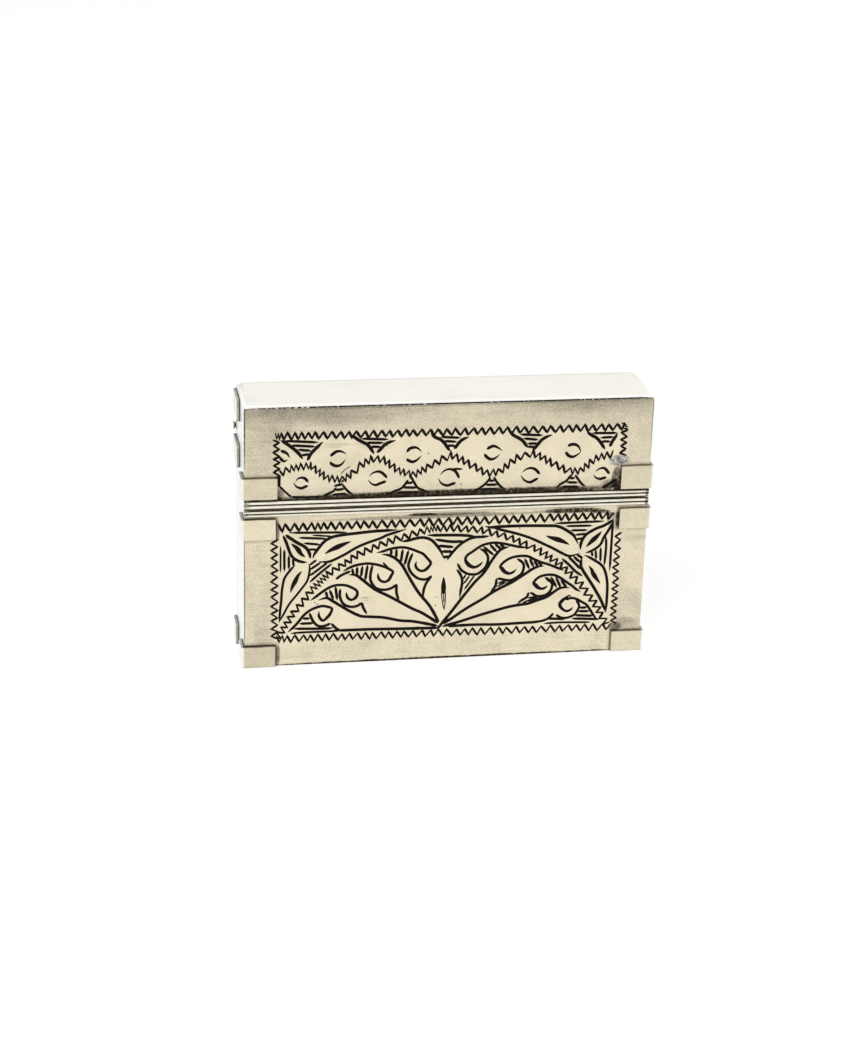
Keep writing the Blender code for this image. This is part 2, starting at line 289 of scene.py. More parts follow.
class MetalBoard(Board):
    """The nodes of one metal finish. Its x, y and z are millimetres from the case's lower left front
    corner."""

    def __init__(self, name):
        self.material = bpy.data.materials.new(name)
        self.material.use_nodes = True
        self.material.node_tree.nodes.clear()
        super().__init__(self.material.node_tree)
        lying = self.add("ShaderNodeTexCoord", output="Object")
        shift = (-LEFT_X / MM, -FRONT_Y / MM, 0.0)
        thousand = (1 / MM, 1 / MM, 1 / MM)
        self.place = self.vector("MULTIPLY_ADD", lying, thousand, shift)
        self.x, self.y, self.z = (
            self.add("ShaderNodeSeparateXYZ", values=(self.place,), output=axis) for axis in range(3)
        )

    def stretched(self, along):
        """The place with each axis squeezed by its own share."""
        return self.vector("MULTIPLY", self.place, along)

    def past_end(self):
        """How far a place lies past the nearer end of the front sheets."""
        return abs(self.x - HALF_LENGTH) - HALF_LENGTH

    def cloud(self, scale, detail=3.0, roughness=0.5, place=None):
        """Soft uneven noise from 0 to 1, with about scale lumps to the millimetre."""
        values = {"Vector": place or self.place, "Scale": scale, "Detail": detail, "Roughness": roughness}
        return self.add("ShaderNodeTexNoise", values=values)

    def spot(self, centre, reach, waver=None):
        """1 inside an oval on the front and 0 outside it, with a soft edge. The oval can waver with noise."""
        across = (self.x - centre[0]) / reach[0]
        up = (self.z - centre[1]) / reach[1]
        distance = across * across + up * up
        if waver is not None:
            distance = distance + waver
        return distance.ramp(1.3, 0.25)

    def line(self, low, high, reach):
        """1 at the outline of a rectangle on the front, fading to 0 at reach from it."""
        across = abs(self.x - (low[0] + high[0]) / 2) - (high[0] - low[0]) / 2
        up = abs(self.z - (low[1] + high[1]) / 2) - (high[1] - low[1]) / 2
        return across.largest(up).ramp(reach, reach * 0.3)

    def finish(self, colour, metallic, roughness, relief, depth, specular=0.5):
        """Ends the nodes in a surface. The relief goes from 0 to 1, and depth is its height in metres."""
        bump = self.add("ShaderNodeBump", values={"Strength": 1.0, "Distance": depth, "Height": relief})
        values = {"Base Color": colour, "Metallic": metallic, "Roughness": roughness, "Normal": bump}
        values["Specular IOR Level"] = specular
        surface = self.add("ShaderNodeBsdfPrincipled", values=values)
        self.add("ShaderNodeOutputMaterial", values={"Surface": surface})
        return self.material


def tone(red, green, blue):
    return (red, green, blue, 1.0)


def rubbed_relief(board, grain):
    """Fine scratches along the sheet and a faint hammered unevenness."""
    along = board.cloud(1.0, 4.0, 0.65, board.stretched((0.35, 3.0, 7.0)))
    across = board.cloud(1.0, 3.0, 0.6, board.stretched((5.0, 3.0, 0.5)))
    swell = board.cloud(0.10, 2.0)
    return along * grain + across * (grain * 0.5) + swell * 2.0


def engraved_silver(name, margin, stains_and_shade, field, straps, smudges=()):
    """Front sheet: clean inside its engraved field, tarnished beside seams and straps, with painted shade
    by the straps, under the body's reeds and along the base. Margin is how tarnished it is outside the field."""
    board = MetalBoard(name)
    drift = board.cloud(0.35, 4.0, 0.6) - 0.5
    speckle = board.cloud(2.2, 5.0, 0.75)
    broad = board.cloud(0.06, 3.0, 0.55)
    patches = board.cloud(0.22, 4.0, 0.65)
    grain = board.cloud(3.2, 3.0, 0.7)
    blotches = board.cloud(1.2, 5.0, 0.8).ramp(0.40, 0.60)
    streak = board.cloud(1.0, 4.0, 0.7, board.stretched((0.10, 1.0, 1.3)))
    brushed = board.cloud(1.0, 3.0, 0.6, board.stretched((0.35, 1.0, 4.5)))
    upright = board.cloud(1.0, 3.0, 0.6, board.stretched((4.5, 1.0, 0.35)))
    low, high = field
    across = board.x + drift * 3.0
    up = board.z + drift * 2.0
    inside = across.ramp(low[0] - 2.0, low[0] + 1.5) * across.ramp(high[0] + 2.0, high[0] - 1.5)
    worn = inside * up.ramp(low[1] - 1.5, low[1] + 1.0) * up.ramp(high[1] + 1.5, high[1] - 1.0)
    rubbed = 1.0 - worn * 0.7
    shade = (1.0 - worn) * margin + broad.ramp(0.35, 0.75) * 0.16 + patches.ramp(0.45, 0.75) * 0.14
    for marks, strength in (
        (speckle, 1.4), (grain, 1.3), (streak, 0.6), (brushed, 0.45), (upright, 0.2), (patches, 0.35),
    ):
        shade = shade + (marks - 0.5) * rubbed * strength
    corners = board.x.ramp(40.0, 12.0) * 0.38 + board.x.ramp(56.0, 82.0) * 0.26 + 0.12
    shade = shade + board.z.ramp(TOP_MM - 7.0, TOP_MM) * corners
    dirt_and_shade = 0.0
    # Stains, and painted shade in the rows under the reeds, beside the straps and along the base.
    for centre, reach, strength, blackness in stains_and_shade:
        mark = board.spot(centre, reach, drift * 1.2)
        shade = shade + mark * (speckle.ramp(0.30, 0.60) * 0.4 + 0.6) * strength
        if blackness:
            dirt_and_shade = mark * (blotches * 0.45 + 0.55) * blackness + dirt_and_shade
    # A dark solder line round each strap and a wider soot band, both partly painted crevice shade.
    for low, high, darkness in straps:
        dirt_and_shade = board.line(low, high, STRAP_LINE) * (speckle.ramp(0.2, 0.5) * 0.5 + 0.5) * darkness + dirt_and_shade
        shade = shade + board.line(low, high, STRAP_SOOT_AND_SHADE) * darkness * 0.5
    outside = board.y.ramp(OUTER_SKIN * 2, OUTER_SKIN)
    shade = (shade * outside * 0.8 + (1.0 - outside) * 0.35).clamped()
    dirt_and_shade = (dirt_and_shade * outside).clamped()
    colour = board.blend(shade, CLEAN_SILVER, TARNISHED_SILVER)
    colour = board.blend(dirt_and_shade, colour, BLACK_DIRT_AND_SHADE)
    for centre, reach in smudges:
        smudge = board.spot(centre, reach, drift * 2.2) * outside
        lumps = board.cloud(1.3, 3.0, 0.7).ramp(0.42, 0.60)
        ash = board.blend(lumps, tone(0.10, 0.095, 0.09), tone(0.60, 0.60, 0.60))
        colour = board.blend(smudge * 0.9, colour, ash)
    rim = board.z.ramp(TOP_MM - RIM_SHOWN, TOP_MM - RIM_SHOWN + 0.05)
    colour = board.blend(rim, colour, PALE_RIM)
    roughness = 0.36 + shade * 0.16 + (speckle - 0.5) * 0.10
    return board.finish(colour, 1.0, roughness, rubbed_relief(board, 0.35), 0.006 * MM)


def sheet_silver(name, clean, tarnished, amount, roughness):
    """Plain rolled sheet with long faint rubbing marks."""
    board = MetalBoard(name)
    broad = board.cloud(0.09, 3.0, 0.55)
    speckle = board.cloud(1.9, 4.0, 0.7)
    streak = board.cloud(1.0, 4.0, 0.7, board.stretched((0.08, 0.9, 1.1)))
    patches = board.cloud(0.30, 5.0, 0.7)
    upright = board.cloud(1.0, 3.0, 0.6, board.stretched((3.0, 0.9, 0.4)))
    shade = broad.ramp(0.4, 0.75) * 0.22 + patches.ramp(0.42, 0.75) * 0.25 + streak.ramp(0.45, 0.8) * 0.35
    shade = shade + speckle.ramp(0.40, 0.85) * 0.4 + (upright - 0.5) * 0.25
    shade = (shade * amount).clamped()
    colour = board.blend(shade, tone(*clean), tone(*tarnished))
    rim = board.z.ramp(TOP_MM - RIM_SHOWN, TOP_MM - RIM_SHOWN / 2)
    colour = board.blend(rim, colour, PALE_RIM)
    rough = roughness + shade * 0.15 + (speckle - 0.5) * 0.08
    return board.finish(colour, 1.0, rough, rubbed_relief(board, 0.35), 0.006 * MM)


def wrap_silver(name, clean, tarnished):
    """The bent strip's finish: polished pale, with black flux beside its seam with the front sheet."""
    board = MetalBoard(name)
    broad = board.cloud(0.09, 3.0, 0.55)
    speckle = board.cloud(1.9, 4.0, 0.7)
    drift = board.cloud(0.8, 4.0, 0.7)
    streak = board.cloud(1.0, 4.0, 0.7, board.stretched((0.05, 0.9, 1.1)))
    shade = broad.ramp(0.4, 0.75) * 0.35 + streak.ramp(0.45, 0.8) * 0.35 + speckle.ramp(0.45, 0.9) * 0.2
    shade = shade.clamped()
    colour = board.blend(shade, tone(*clean), tone(*tarnished))
    # Painted highlight: the strip's left end is made near white, as if lit strongly from the left.
    painted_end_highlight = board.x.ramp(1.0, 0.1)
    at_ends = board.past_end().ramp(-1.0, -0.1)
    colour = board.blend(painted_end_highlight, colour, tone(0.985, 0.985, 0.975))
    seam = (STRIP_LOW.y - FRONT_Y) / MM
    flux = (board.y - seam + (drift - 0.5) * 0.7).ramp(SEAM_SOOT, SEAM_SOOT * 0.5)
    breaks = drift.ramp(0.47, 0.56) * board.x.ramp(24.0, 10.0)
    flux = flux * (1.0 - breaks * 0.8) * (1.0 - at_ends * 0.75) * 0.92
    flux = flux * board.z.ramp(TOP_MM - 0.6, TOP_MM - 1.5)
    colour = board.blend(flux, colour, tone(0.030, 0.024, 0.020))
    rough = 0.30 + shade * 0.12 + (speckle - 0.5) * 0.06
    return board.finish(colour, 1.0, rough, rubbed_relief(board, 0.3), 0.005 * MM)


def strap_silver(name, clean, tarnished, pale):
    """Strap stock: rubbed bright, with a painted highlight on the end legs, and soot and painted shade at its
    edges.
    """
    board = MetalBoard(name)
    edge = board.add("ShaderNodeAttribute", {"attribute_name": "edge"}, output="Fac")
    drift = board.cloud(0.9, 4.0, 0.6)
    broad = board.cloud(0.045, 1.0)
    speckle = board.cloud(2.4, 5.0, 0.75)
    streak = board.cloud(1.0, 4.0, 0.7, board.stretched((0.3, 1.0, 1.6)))
    wear = board.add("ShaderNodeAttribute", {"attribute_name": "wear"}, output="Fac")
    depth = (BACK_Y - FRONT_Y) / MM
    beyond_end = board.past_end()
    off_sheet = beyond_end.largest(0.0 - board.y).largest(board.y - depth)
    # Painted highlight: the strap's legs on the case ends are made pale, as if lit.
    painted_end_highlight = beyond_end.ramp(0.0, 0.40)
    shade = wear + broad.ramp(0.35, 0.65) * 0.12 + drift.ramp(0.35, 0.8) * 0.22 + (speckle - 0.5) * 0.8
    shade = shade + (streak - 0.5) * 0.4 + (edge + (drift - 0.5) * 0.3).ramp(0.30, 0.0) * 0.30
    shade = shade.clamped()
    colour = board.blend(shade, tone(*clean), tone(*tarnished))
    colour = board.blend(painted_end_highlight * 0.95, colour, tone(*pale))
    # Tarnish and painted shade along the strap's cut edges.
    edge_tarnish_and_shade = (edge + (drift - 0.5) * 0.08).ramp(0.09, 0.01) * (0.35 + drift * 0.6)
    colour = board.blend(edge_tarnish_and_shade, colour, tone(0.17, 0.16, 0.14))
    # Solder soot and painted crevice shade where the strap lies close to the sheets.
    soot_and_crevice_shade = (off_sheet + (drift - 0.5) * 0.25).ramp(0.35, 0.08) * 0.8
    colour = board.blend(soot_and_crevice_shade, colour, tone(0.05, 0.04, 0.03))
    roughness = 0.34 + shade * 0.2
    return board.finish(colour, 1.0, roughness, rubbed_relief(board, 0.4), 0.006 * MM)


def pin_silver(name):
    """Hinge pin: dark with old polish, its riveted ends pale."""
    board = MetalBoard(name)
    speckle = board.cloud(3.0, 4.0, 0.7)
    tip = board.past_end().ramp(0.50, 0.66)
    colour = board.blend(speckle.ramp(0.3, 0.7), tone(0.09, 0.08, 0.065), tone(0.34, 0.31, 0.25))
    colour = board.blend(tip * 0.9, colour, tone(0.93, 0.915, 0.87))
    return board.finish(colour, 1.0, 0.32 + speckle * 0.2, speckle, 0.01 * MM)


def reed_silver(name):
    """Reeds: crowns bright, partly a painted highlight; hollows black with old polish and painted shade."""
    board = MetalBoard(name)
    hollow = board.add("ShaderNodeAttribute", {"attribute_name": "hollow"}, output="Fac")
    drift = board.cloud(0.5, 4.0, 0.6)
    speckle = board.cloud(3.0, 4.0, 0.65)
    fine = board.cloud(1.0, 4.0, 0.6, board.stretched((0.25, 2.0, 3.0)))
    shade = drift.ramp(0.4, 0.8) * 0.35 + speckle.ramp(0.5, 0.9) * 0.25 + hollow.ramp(0.25, 0.75) * 0.30
    shade = shade.clamped()
    # The crowns' near-white tone is partly rubbed silver and partly a painted highlight.
    colour = board.blend(shade, tone(0.93, 0.90, 0.79), tone(0.50, 0.45, 0.34))
    # Black in the hollows: old polish, partly painted shade.
    black = (hollow + (fine - 0.5) * 0.40).ramp(0.50, 0.70) * (board.x + (fine - 0.5) * 1.2).ramp(0.7, 1.5)
    colour = board.blend(black, colour, tone(0.020, 0.015, 0.010))
    lumps = board.cloud(1.6, 4.0, 0.7)
    worn_end = (board.x + (lumps - 0.5) * 1.5).ramp(1.5, 0.6) * lumps.ramp(0.42, 0.58)
    colour = board.blend(worn_end * 0.8, colour, tone(0.16, 0.16, 0.16))
    # Painted shade: a dark band near the right end stands for the shade on its folded corner.
    from_right = 2 * HALF_LENGTH - board.x + (lumps - 0.5) * 0.5
    painted_fold_shade = from_right.ramp(1.0, 0.7) * from_right.ramp(0.1, 0.4)
    colour = board.blend(painted_fold_shade * 0.75, colour, tone(0.07, 0.07, 0.065))
    roughness = 0.28 + shade * 0.2 + black * 0.2
    return board.finish(colour, 1.0, roughness, fine, 0.010 * MM)


def solder_seam(name):
    """Old solder in a seam: black flux with bright breaks."""
    board = MetalBoard(name)
    breaks = board.cloud(0.8, 4.0, 0.7, board.stretched((0.6, 1.0, 1.0)))
    fine = board.cloud(2.5, 4.0, 0.7)
    on_top = board.z.ramp(TOP_MM - 1.5, TOP_MM - 0.6)
    bright = on_top.largest((breaks * 0.7 + fine * 0.3).ramp(0.56, 0.63))
    colour = board.blend(bright, tone(0.030, 0.026, 0.022), tone(0.93, 0.91, 0.85))
    return board.finish(colour, 0.8, 0.45 + fine * 0.2, fine, 0.03 * MM)


def black_cut(name):
    """The blackened bottom of a cut, a little rubbed on its sides."""
    board = MetalBoard(name)
    grit = board.cloud(5.0, 3.0, 0.6)
    colour = board.blend(grit.ramp(0.5, 0.95), tone(0.007, 0.005, 0.0035), tone(0.030, 0.022, 0.014))
    solder = (board.cloud(1.3, 3.0, 0.6) + board.x.ramp(22.0, 6.0) * 0.09).ramp(0.58, 0.64)
    solder = solder * board.z.ramp(TOP_MM - RIM_SHOWN - 0.4, TOP_MM - RIM_SHOWN - 0.2)
    colour = board.blend(solder, colour, tone(0.75, 0.74, 0.70))
    return board.finish(colour, 0.0, 0.6 + grit * 0.2, grit, 0.02 * MM, specular=0.12)


def floor_finish():
    """A white floor that keeps a faint shadow. The camera and the silver see it close to pure white."""
    material = bpy.data.materials.new("white floor")
    material.use_nodes = True
    material.node_tree.nodes.clear()
    board = Board(material.node_tree)
    camera = board.add("ShaderNodeLightPath", output="Is Camera Ray")
    glossy = board.add("ShaderNodeLightPath", output="Is Glossy Ray")
    through = board.add("ShaderNodeLightPath", output="Is Transmission Ray")
    grain = board.add("ShaderNodeTexNoise", values={"Scale": 40.0, "Detail": 2.0})
    colour = board.blend(grain, tone(0.50, 0.50, 0.50), tone(0.53, 0.53, 0.53))
    lying = board.add("ShaderNodeBsdfDiffuse", values={"Color": colour})
    seen = board.add("ShaderNodeEmission", values={"Color": tone(1.0, 1.0, 1.0), "Strength": 0.62})
    white = board.add("ShaderNodeEmission", values={"Color": tone(1.0, 1.0, 1.0), "Strength": 1.0})
    lit = board.add("ShaderNodeAddShader", values=(lying, seen))
    looked_at = board.add("ShaderNodeMixShader", values=(camera, lying, lit))
    surface = board.add("ShaderNodeMixShader", values=(glossy.largest(through), looked_at, white))
    board.add("ShaderNodeOutputMaterial", values={"Surface": surface})
    return material


def smooth_line(points):
    """Points at even steps along a smooth curve through the given ones."""
    knots = [Vector(point) for point in points]
    if len(knots) == 2:
        count = max(4, math.ceil((knots[1] - knots[0]).length / (2 * CUT_STEP)))
        return [knots[0].lerp(knots[1], i / count) for i in range(count + 1)]
    line = []
    for i in range(len(knots) - 1):
        here, there = knots[i], knots[i + 1]
        before = knots[i - 1] if i else here * 2 - there
        after = knots[i + 2] if i + 2 < len(knots) else there * 2 - here
        count = max(1, round((there - here).length / CUT_STEP))
        for k in range(count):
            t = k / count
            lift = (there - before) * t + (before * 2 - here * 5 + there * 4 - after) * t * t
            lift = lift + (here * 3 - before - there * 3 + after) * t * t * t
            line.append(here + lift * 0.5)
    return [*line, knots[-1]]


class Plate:
    """A front sheet that takes engraver's cuts, each a black groove with a thin start and end.
    Places are millimetres from the case's lower left corner."""

    def __init__(self, outline):
        self.corners = [Vector(point) for point in outline(ROUNDED_EDGE)]
        self.outline = outline
        self.points = [corner / MM - Vector((LEFT_X, 0.0)) / MM for corner in self.corners]
        self.loops = [list(range(len(self.points)))]
        self.grooves = {}

    def cut(self, *points, width, start=0.10, end=0.10):
        """One cut through the points. Start and end are the shares of it that thin out to a tip."""
        line = smooth_line(points)
        half = width / 2 * CUT_SPREAD
        lengths = [0.0]
        for here, there in zip(line, line[1:]):
            lengths.append(lengths[-1] + (there - here).length)
        rails = []
        for i, place in enumerate(line):
            along = (line[min(i + 1, len(line) - 1)] - line[max(i - 1, 0)]).normalized()
            t = lengths[i] / lengths[-1]
            swell = min(1.0, (t / start) ** TIP_ROUNDNESS, ((1 - t) / end) ** TIP_ROUNDNESS)
            reach = max(half * swell, CUT_TIP / 2)
            sideways = Vector((-along.y, along.x)) * reach
            rails.append((place + sideways, place, place - sideways, reach))
        first = len(self.points)
        for left, middle, right, reach in rails:
            self.points += [left, middle, right]
        for i in range(len(rails) - 1):
            base = first + 3 * i
            self.loops.append([base + 1, base + 4, base + 3, base])
            self.loops.append([base + 2, base + 5, base + 4, base + 1])
            self.keep_groove(rails[i], rails[i + 1])

    def keep_groove(self, here, there):
        """Remembers a short stretch of groove by the cells that it crosses."""
        reach = max(here[3], there[3])
        low_x, high_x = sorted((here[1].x, there[1].x))
        low_z, high_z = sorted((here[1].y, there[1].y))
        for i in range(int((low_x - reach) / CELL), int((high_x + reach) / CELL) + 1):
            for k in range(int((low_z - reach) / CELL), int((high_z + reach) / CELL) + 1):
                self.grooves.setdefault((i, k), []).append((here[1], there[1], here[3], there[3]))

    def depth(self, place):
        """How deep the deepest groove is at a place."""
        deepest = 0.0
        for here, there, near, far in self.grooves.get((int(place.x / CELL), int(place.y / CELL)), ()):
            run = there - here
            t = min(1.0, max(0.0, (place - here).dot(run) / max(run.length_squared, 1e-9)))
            aside = (place - here - run * t).length
            deepest = max(deepest, near + (far - near) * t - aside)
        return min(deepest * CUT_SLOPE, CUT_DEEPEST)

    def solid(self, name, body, node, material, cut_material):
        """The sheet as one closed mesh: cut front, rounded edge, walls and back."""
        low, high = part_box(node)
        loops = []
        for loop in self.loops:
            area = sum(
                self.points[a].cross(self.points[b]) for a, b in zip(loop, loop[1:] + loop[:1])
            )
            loops.append(loop if area > 0 else loop[::-1])
        points, _, faces, sources, _, covers = delaunay_2d_cdt(self.points, [], loops, 1, SAME_PLACE)
        mesh_data = bmesh.new()
        front = []
        rim = {}
        for place, source in zip(points, sources):
            sunk = self.depth(place) * MM
            vert = mesh_data.verts.new((LEFT_X + place.x * MM, low.y + sunk, place.y * MM))
            front.append(vert)
            for index in source:
                if index < len(self.corners):
                    rim[index] = vert
        for face, cover in zip(faces, covers):
            made = mesh_data.faces.new([front[i] for i in face])
            made.material_index = 1 if any(index > 0 for index in cover) else 0
        ring = [rim[i] for i in range(len(self.corners))]
        for i in range(1, EDGE_STEPS + 1):
            angle = math.pi / 2 * i / EDGE_STEPS
            inset = ROUNDED_EDGE * (1 - math.sin(angle))
            back_off = ROUNDED_EDGE * (1 - math.cos(angle))
            ring = self.next_ring(mesh_data, ring, inset, low.y + back_off, True)
        ring = self.next_ring(mesh_data, ring, 0.0, high.y - SOFT_EDGE, False)
        ring = self.next_ring(mesh_data, ring, SOFT_EDGE, high.y, True)
        mesh_data.faces.new(ring[::-1])
        return settle(object_from(mesh_data, name), body, node, (material, cut_material))

    def next_ring(self, mesh_data, ring, inset, y, rounded_off):
        """Walls from one ring of the sheet's edge to the next."""
        corners = [mesh_data.verts.new((x, y, z)) for x, z in self.outline(inset)]
        count = len(ring)
        for i in range(count):
            j = (i + 1) % count
            wall = mesh_data.faces.new((ring[j], ring[i], corners[i], corners[j]))
            wall.smooth = rounded_off
        return corners


def linked(name, data):
    """A new object in the scene."""
    thing = bpy.data.objects.new(name, data)
    bpy.context.scene.collection.objects.link(thing)
    return thing

def object_from(mesh_data, name):
    """A new object from worked mesh data."""
    mesh = bpy.data.meshes.new(name)
    mesh_data.to_mesh(mesh)
    mesh_data.free()
    return linked(name, mesh)

def settle(piece, body, node, materials):
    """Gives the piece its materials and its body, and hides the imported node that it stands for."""
    for material in materials:
        if material.name not in piece.data.materials:
            piece.data.materials.append(material)
    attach(piece, body)
    if node:
        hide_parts(node)
    return piece


def worked_mesh(thing):
    """The object's mesh with its modifiers worked in."""
    graph = bpy.context.evaluated_depsgraph_get()
    mesh = bpy.data.meshes.new_from_object(thing.evaluated_get(graph))
    thing.modifiers.clear()
    return mesh

def soften(piece, width, angle):
    """Rounds the edges of the piece that are sharper than the angle, and shades it to match."""
    edge = piece.modifiers.new("filed edges", "BEVEL")
    edge.width = width
    edge.segments = FILED_STEPS
    edge.limit_method = "ANGLE"
    edge.angle_limit = angle
    edge.use_clamp_overlap = True
    edge.harden_normals = False
    piece.data = worked_mesh(piece)
    piece.data.shade_smooth()
    piece.data.set_sharp_from_angle(angle=SHARP_ANGLE)


def softened_copy(node, body, material):
    """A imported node's own shape with its edges filed round."""
    mesh_data = bmesh.new()
    mesh_data.from_mesh(frame["nodes"][node].data)
    bmesh.ops.remove_doubles(mesh_data, verts=mesh_data.verts, dist=FIT / 10)
    flat = math.radians(1.0)
    bmesh.ops.dissolve_limit(mesh_data, angle_limit=flat, verts=mesh_data.verts, edges=mesh_data.edges)
    piece = object_from(mesh_data, node + "_finished")
    soften(piece, SOFT_EDGE, SHARP_ANGLE)
    for face in piece.data.polygons:
        if max(abs(part) for part in face.normal) > math.cos(flat):
            face.use_smooth = False
    return settle(piece, body, node, (material,))


def corner_arc(centre, radius, start):
    """A quarter turn of points from the start angle."""
    points = []
    for i in range(CORNER_STEPS + 1):
        angle = start + math.pi / 2 * i / CORNER_STEPS
        points.append((centre[0] + radius * math.cos(angle), centre[1] + radius * math.sin(angle)))
    return points


def sheet_outline(low_z, high_z, round_low):
    """The outline of a front sheet as a function of how far it is drawn in from its edge."""

    def outline(inset):
        x, low, high, radius = RIGHT_X - inset, low_z + inset, high_z - inset, CORNER_RADIUS - inset
        if round_low:
            return [
                *corner_arc((-x + radius, low + radius), radius, math.pi),
                *corner_arc((x - radius, low + radius), radius, 1.5 * math.pi),
                (x, high),
                (-x, high),
            ]
        return [
            (-x, low),
            (x, low),
            *corner_arc((x - radius, high - radius), radius, 0.0),
            *corner_arc((-x + radius, high - radius), radius, 0.5 * math.pi),
        ]

    return outline


class ShapeBoard(Board):
    """The nodes of one shape, with the inputs that it is given by name."""

    def __init__(self, name, sockets):
        super().__init__(bpy.data.node_groups.new(name, "GeometryNodeTree"))
        for socket, kind in sockets.items():
            self.tree.interface.new_socket(socket, in_out="INPUT", socket_type="NodeSocket" + kind)
        self.tree.interface.new_socket("Shape", in_out="OUTPUT", socket_type="NodeSocketGeometry")
        self.given = {socket: self.add("NodeGroupInput", output=socket) for socket in sockets}

    def finish(self, shape):
        """Ends the nodes in a real shape with its metal."""
        real = self.add("GeometryNodeRealizeInstances", values={"Geometry": shape})
        metal = {"Geometry": real, "Material": self.given["Metal"]}
        self.add("NodeGroupOutput", values={0: self.add("GeometryNodeSetMaterial", values=metal)})
        return self.tree

def wriggle_tree():
    """Nodes that set the tips of a zigzag along a guide whose points lie at their tooth numbers."""
    sockets = {"Guide": "Geometry", "Teeth": "Int", "Height": "Float", "Waver": "Float", "Upright": "Float"}
    board = ShapeBoard("wriggle", {**sockets, "Seed": "Int", "Metal": "Material"})
    given = board.given
    tips = board.add("GeometryNodeMeshLine", {"mode": "OFFSET"}, {"Count": given["Teeth"] * 2 + 1})
    index = board.add("GeometryNodeInputIndex")
    place = board.add("GeometryNodeInputNamedAttribute", {"data_type": "FLOAT_VECTOR"}, {"Name": "place"})
    guide = board.add("GeometryNodeMeshToCurve", values={"Mesh": given["Guide"]})
    tooth = index * 0.5

    def chance(seed):
        values = {"Min": given["Waver"] * -1.0, "Max": given["Waver"], "ID": index, "Seed": seed}
        node = board.add("FunctionNodeRandomValue", {"data_type": "FLOAT"}, output=1)
        sockets_by_name = {socket.name: socket for socket in node.socket.node.inputs if socket.enabled}
        for name, value in values.items():
            board.tree.links.new(value.socket, sockets_by_name[name])
        return node

    def along(lead):
        settings = {"mode": "LENGTH", "data_type": "FLOAT_VECTOR"}
        values = {"Curves": guide, "Value": place, "Length": tooth + lead}
        return board.add("GeometryNodeSampleCurve", settings, values, output="Value")

    way = board.vector("SUBTRACT", along(TIP_LOOK), along(-TIP_LOOK))
    aside = board.vector("NORMALIZE", board.vector("CROSS_PRODUCT", (0.0, 0.0, 1.0), way))
    lift = board.add("ShaderNodeCombineXYZ", values={"Y": given["Upright"]})
    aside = board.vector("NORMALIZE", board.vector("ADD", aside, lift))
    side = 1.0 - index.sum("MODULO", index, 2.0) * 2.0
    reach = side * (given["Height"] * 0.5 + chance(given["Seed"]))
    settled = board.vector("ADD", along(chance(given["Seed"] + ALONG_SEED)), board.scaled(aside, reach))
    return board.finish(board.add("GeometryNodeSetPosition", values={"Geometry": tips, "Position": settled}))

def run_tree(tree, mesh, inputs):
    """Evaluates a tree of geometry nodes on a mesh and gives the mesh that comes out."""
    thing = linked("working", mesh)
    modifier = thing.modifiers.new(tree.name, "NODES")
    modifier.node_group = tree
    for item in tree.interface.items_tree:
        if item.in_out == "INPUT" and item.name in inputs:
            modifier[item.identifier] = inputs[item.name]
    result = worked_mesh(thing)
    bpy.data.objects.remove(thing)
    return result


class Wriggler:
    """Cuts zigzags with the rocking graver, leg by leg."""

    def __init__(self, metal):
        self.tree = wriggle_tree()
        self.metal = metal
        self.seed = 0

    def tips(self, stations, height, upright):
        """The zigzag's tips. Stations are places in the middle of the band, with the count of teeth
        between them."""
        places = stations[0::2]
        counts = stations[1::2]
        mesh = bpy.data.meshes.new("guide")
        numbers = [sum(counts[:i]) for i in range(len(places))]
        edges = [(i, i + 1) for i in range(len(counts))]
        mesh.from_pydata([(number, 0.0, 0.0) for number in numbers], edges, [])
        store = mesh.attributes.new("place", "FLOAT_VECTOR", "POINT")
        for item, place in zip(store.data, places):
            item.vector = (*place, 0.0)
        self.seed += 1
        inputs = {"Teeth": sum(counts), "Height": height, "Waver": TIP_WAVER, "Upright": upright}
        inputs.update({"Seed": self.seed, "Metal": self.metal})
        result = run_tree(self.tree, mesh, inputs)
        return [Vector(vert.co[:2]) for vert in result.vertices]

    def cut(self, plate, *stations, height, width=LEG_WIDTH, upright=0.0):
        """The tool presses harder on every second leg, and lighter where the teeth are narrow."""
        tips = self.tips(stations, height, upright)
        for i in range(len(tips) - 1):
            here, there = tips[i], tips[i + 1]
            next_tip = tips[i + 2] if i + 2 < len(tips) else tips[i - 1] + (there - here)
            pressure = min(1.0, (next_tip - here).length / WIDE_TOOTH) ** NARROW_EASE
            pressure = pressure * (LIGHT_LEG if i % 2 else HEAVY_LEG)
            over = (there - here) * LEG_OVERRUN
            plate.cut(here - over, there + over, width=width * pressure, start=0.18, end=0.28)


def hatch(plate, *lines, width=0.45, overrun=HATCH_OVERRUN):
    """Straight or bent shading cuts, thin at both ends, that run a little past their marks."""
    for line in lines:
        first, last = Vector(line[0]), Vector(line[-1])
        over = (last - first).normalized() * overrun
        plate.cut(first - over, *line[1:-1], last + over, width=width, start=0.15, end=0.15)


def prick(plate, *places):
    """Small dots from the point of the graver."""
    for x, z in places:
        plate.cut((x - PRICK / 2, z), (x + PRICK / 2, z), width=PRICK, start=0.5, end=0.5)


def eye(plate, upper, lower, thick_left, width):
    """Two facing arcs, as a half-shut eye, heavier at one corner."""
    start, end = (0.10, 0.60) if thick_left else (0.60, 0.10)
    plate.cut(*upper, width=width, start=start, end=end)
    plate.cut(*lower, width=width, start=start, end=end)


def lens(plate, *spine, width):
    """A slit that swells in its middle, as the vein of a leaf."""
    plate.cut(*spine, width=width, start=0.5, end=0.5)


def hanging_triangle(plate, left, right, lines):
    """A shaded triangle that hangs from the frame between two lobes."""
    plate.cut(*left, width=0.6, start=0.12, end=0.15)
    plate.cut(*right, width=0.6, start=0.3, end=0.10)
    hatch(plate, *lines, width=0.48)

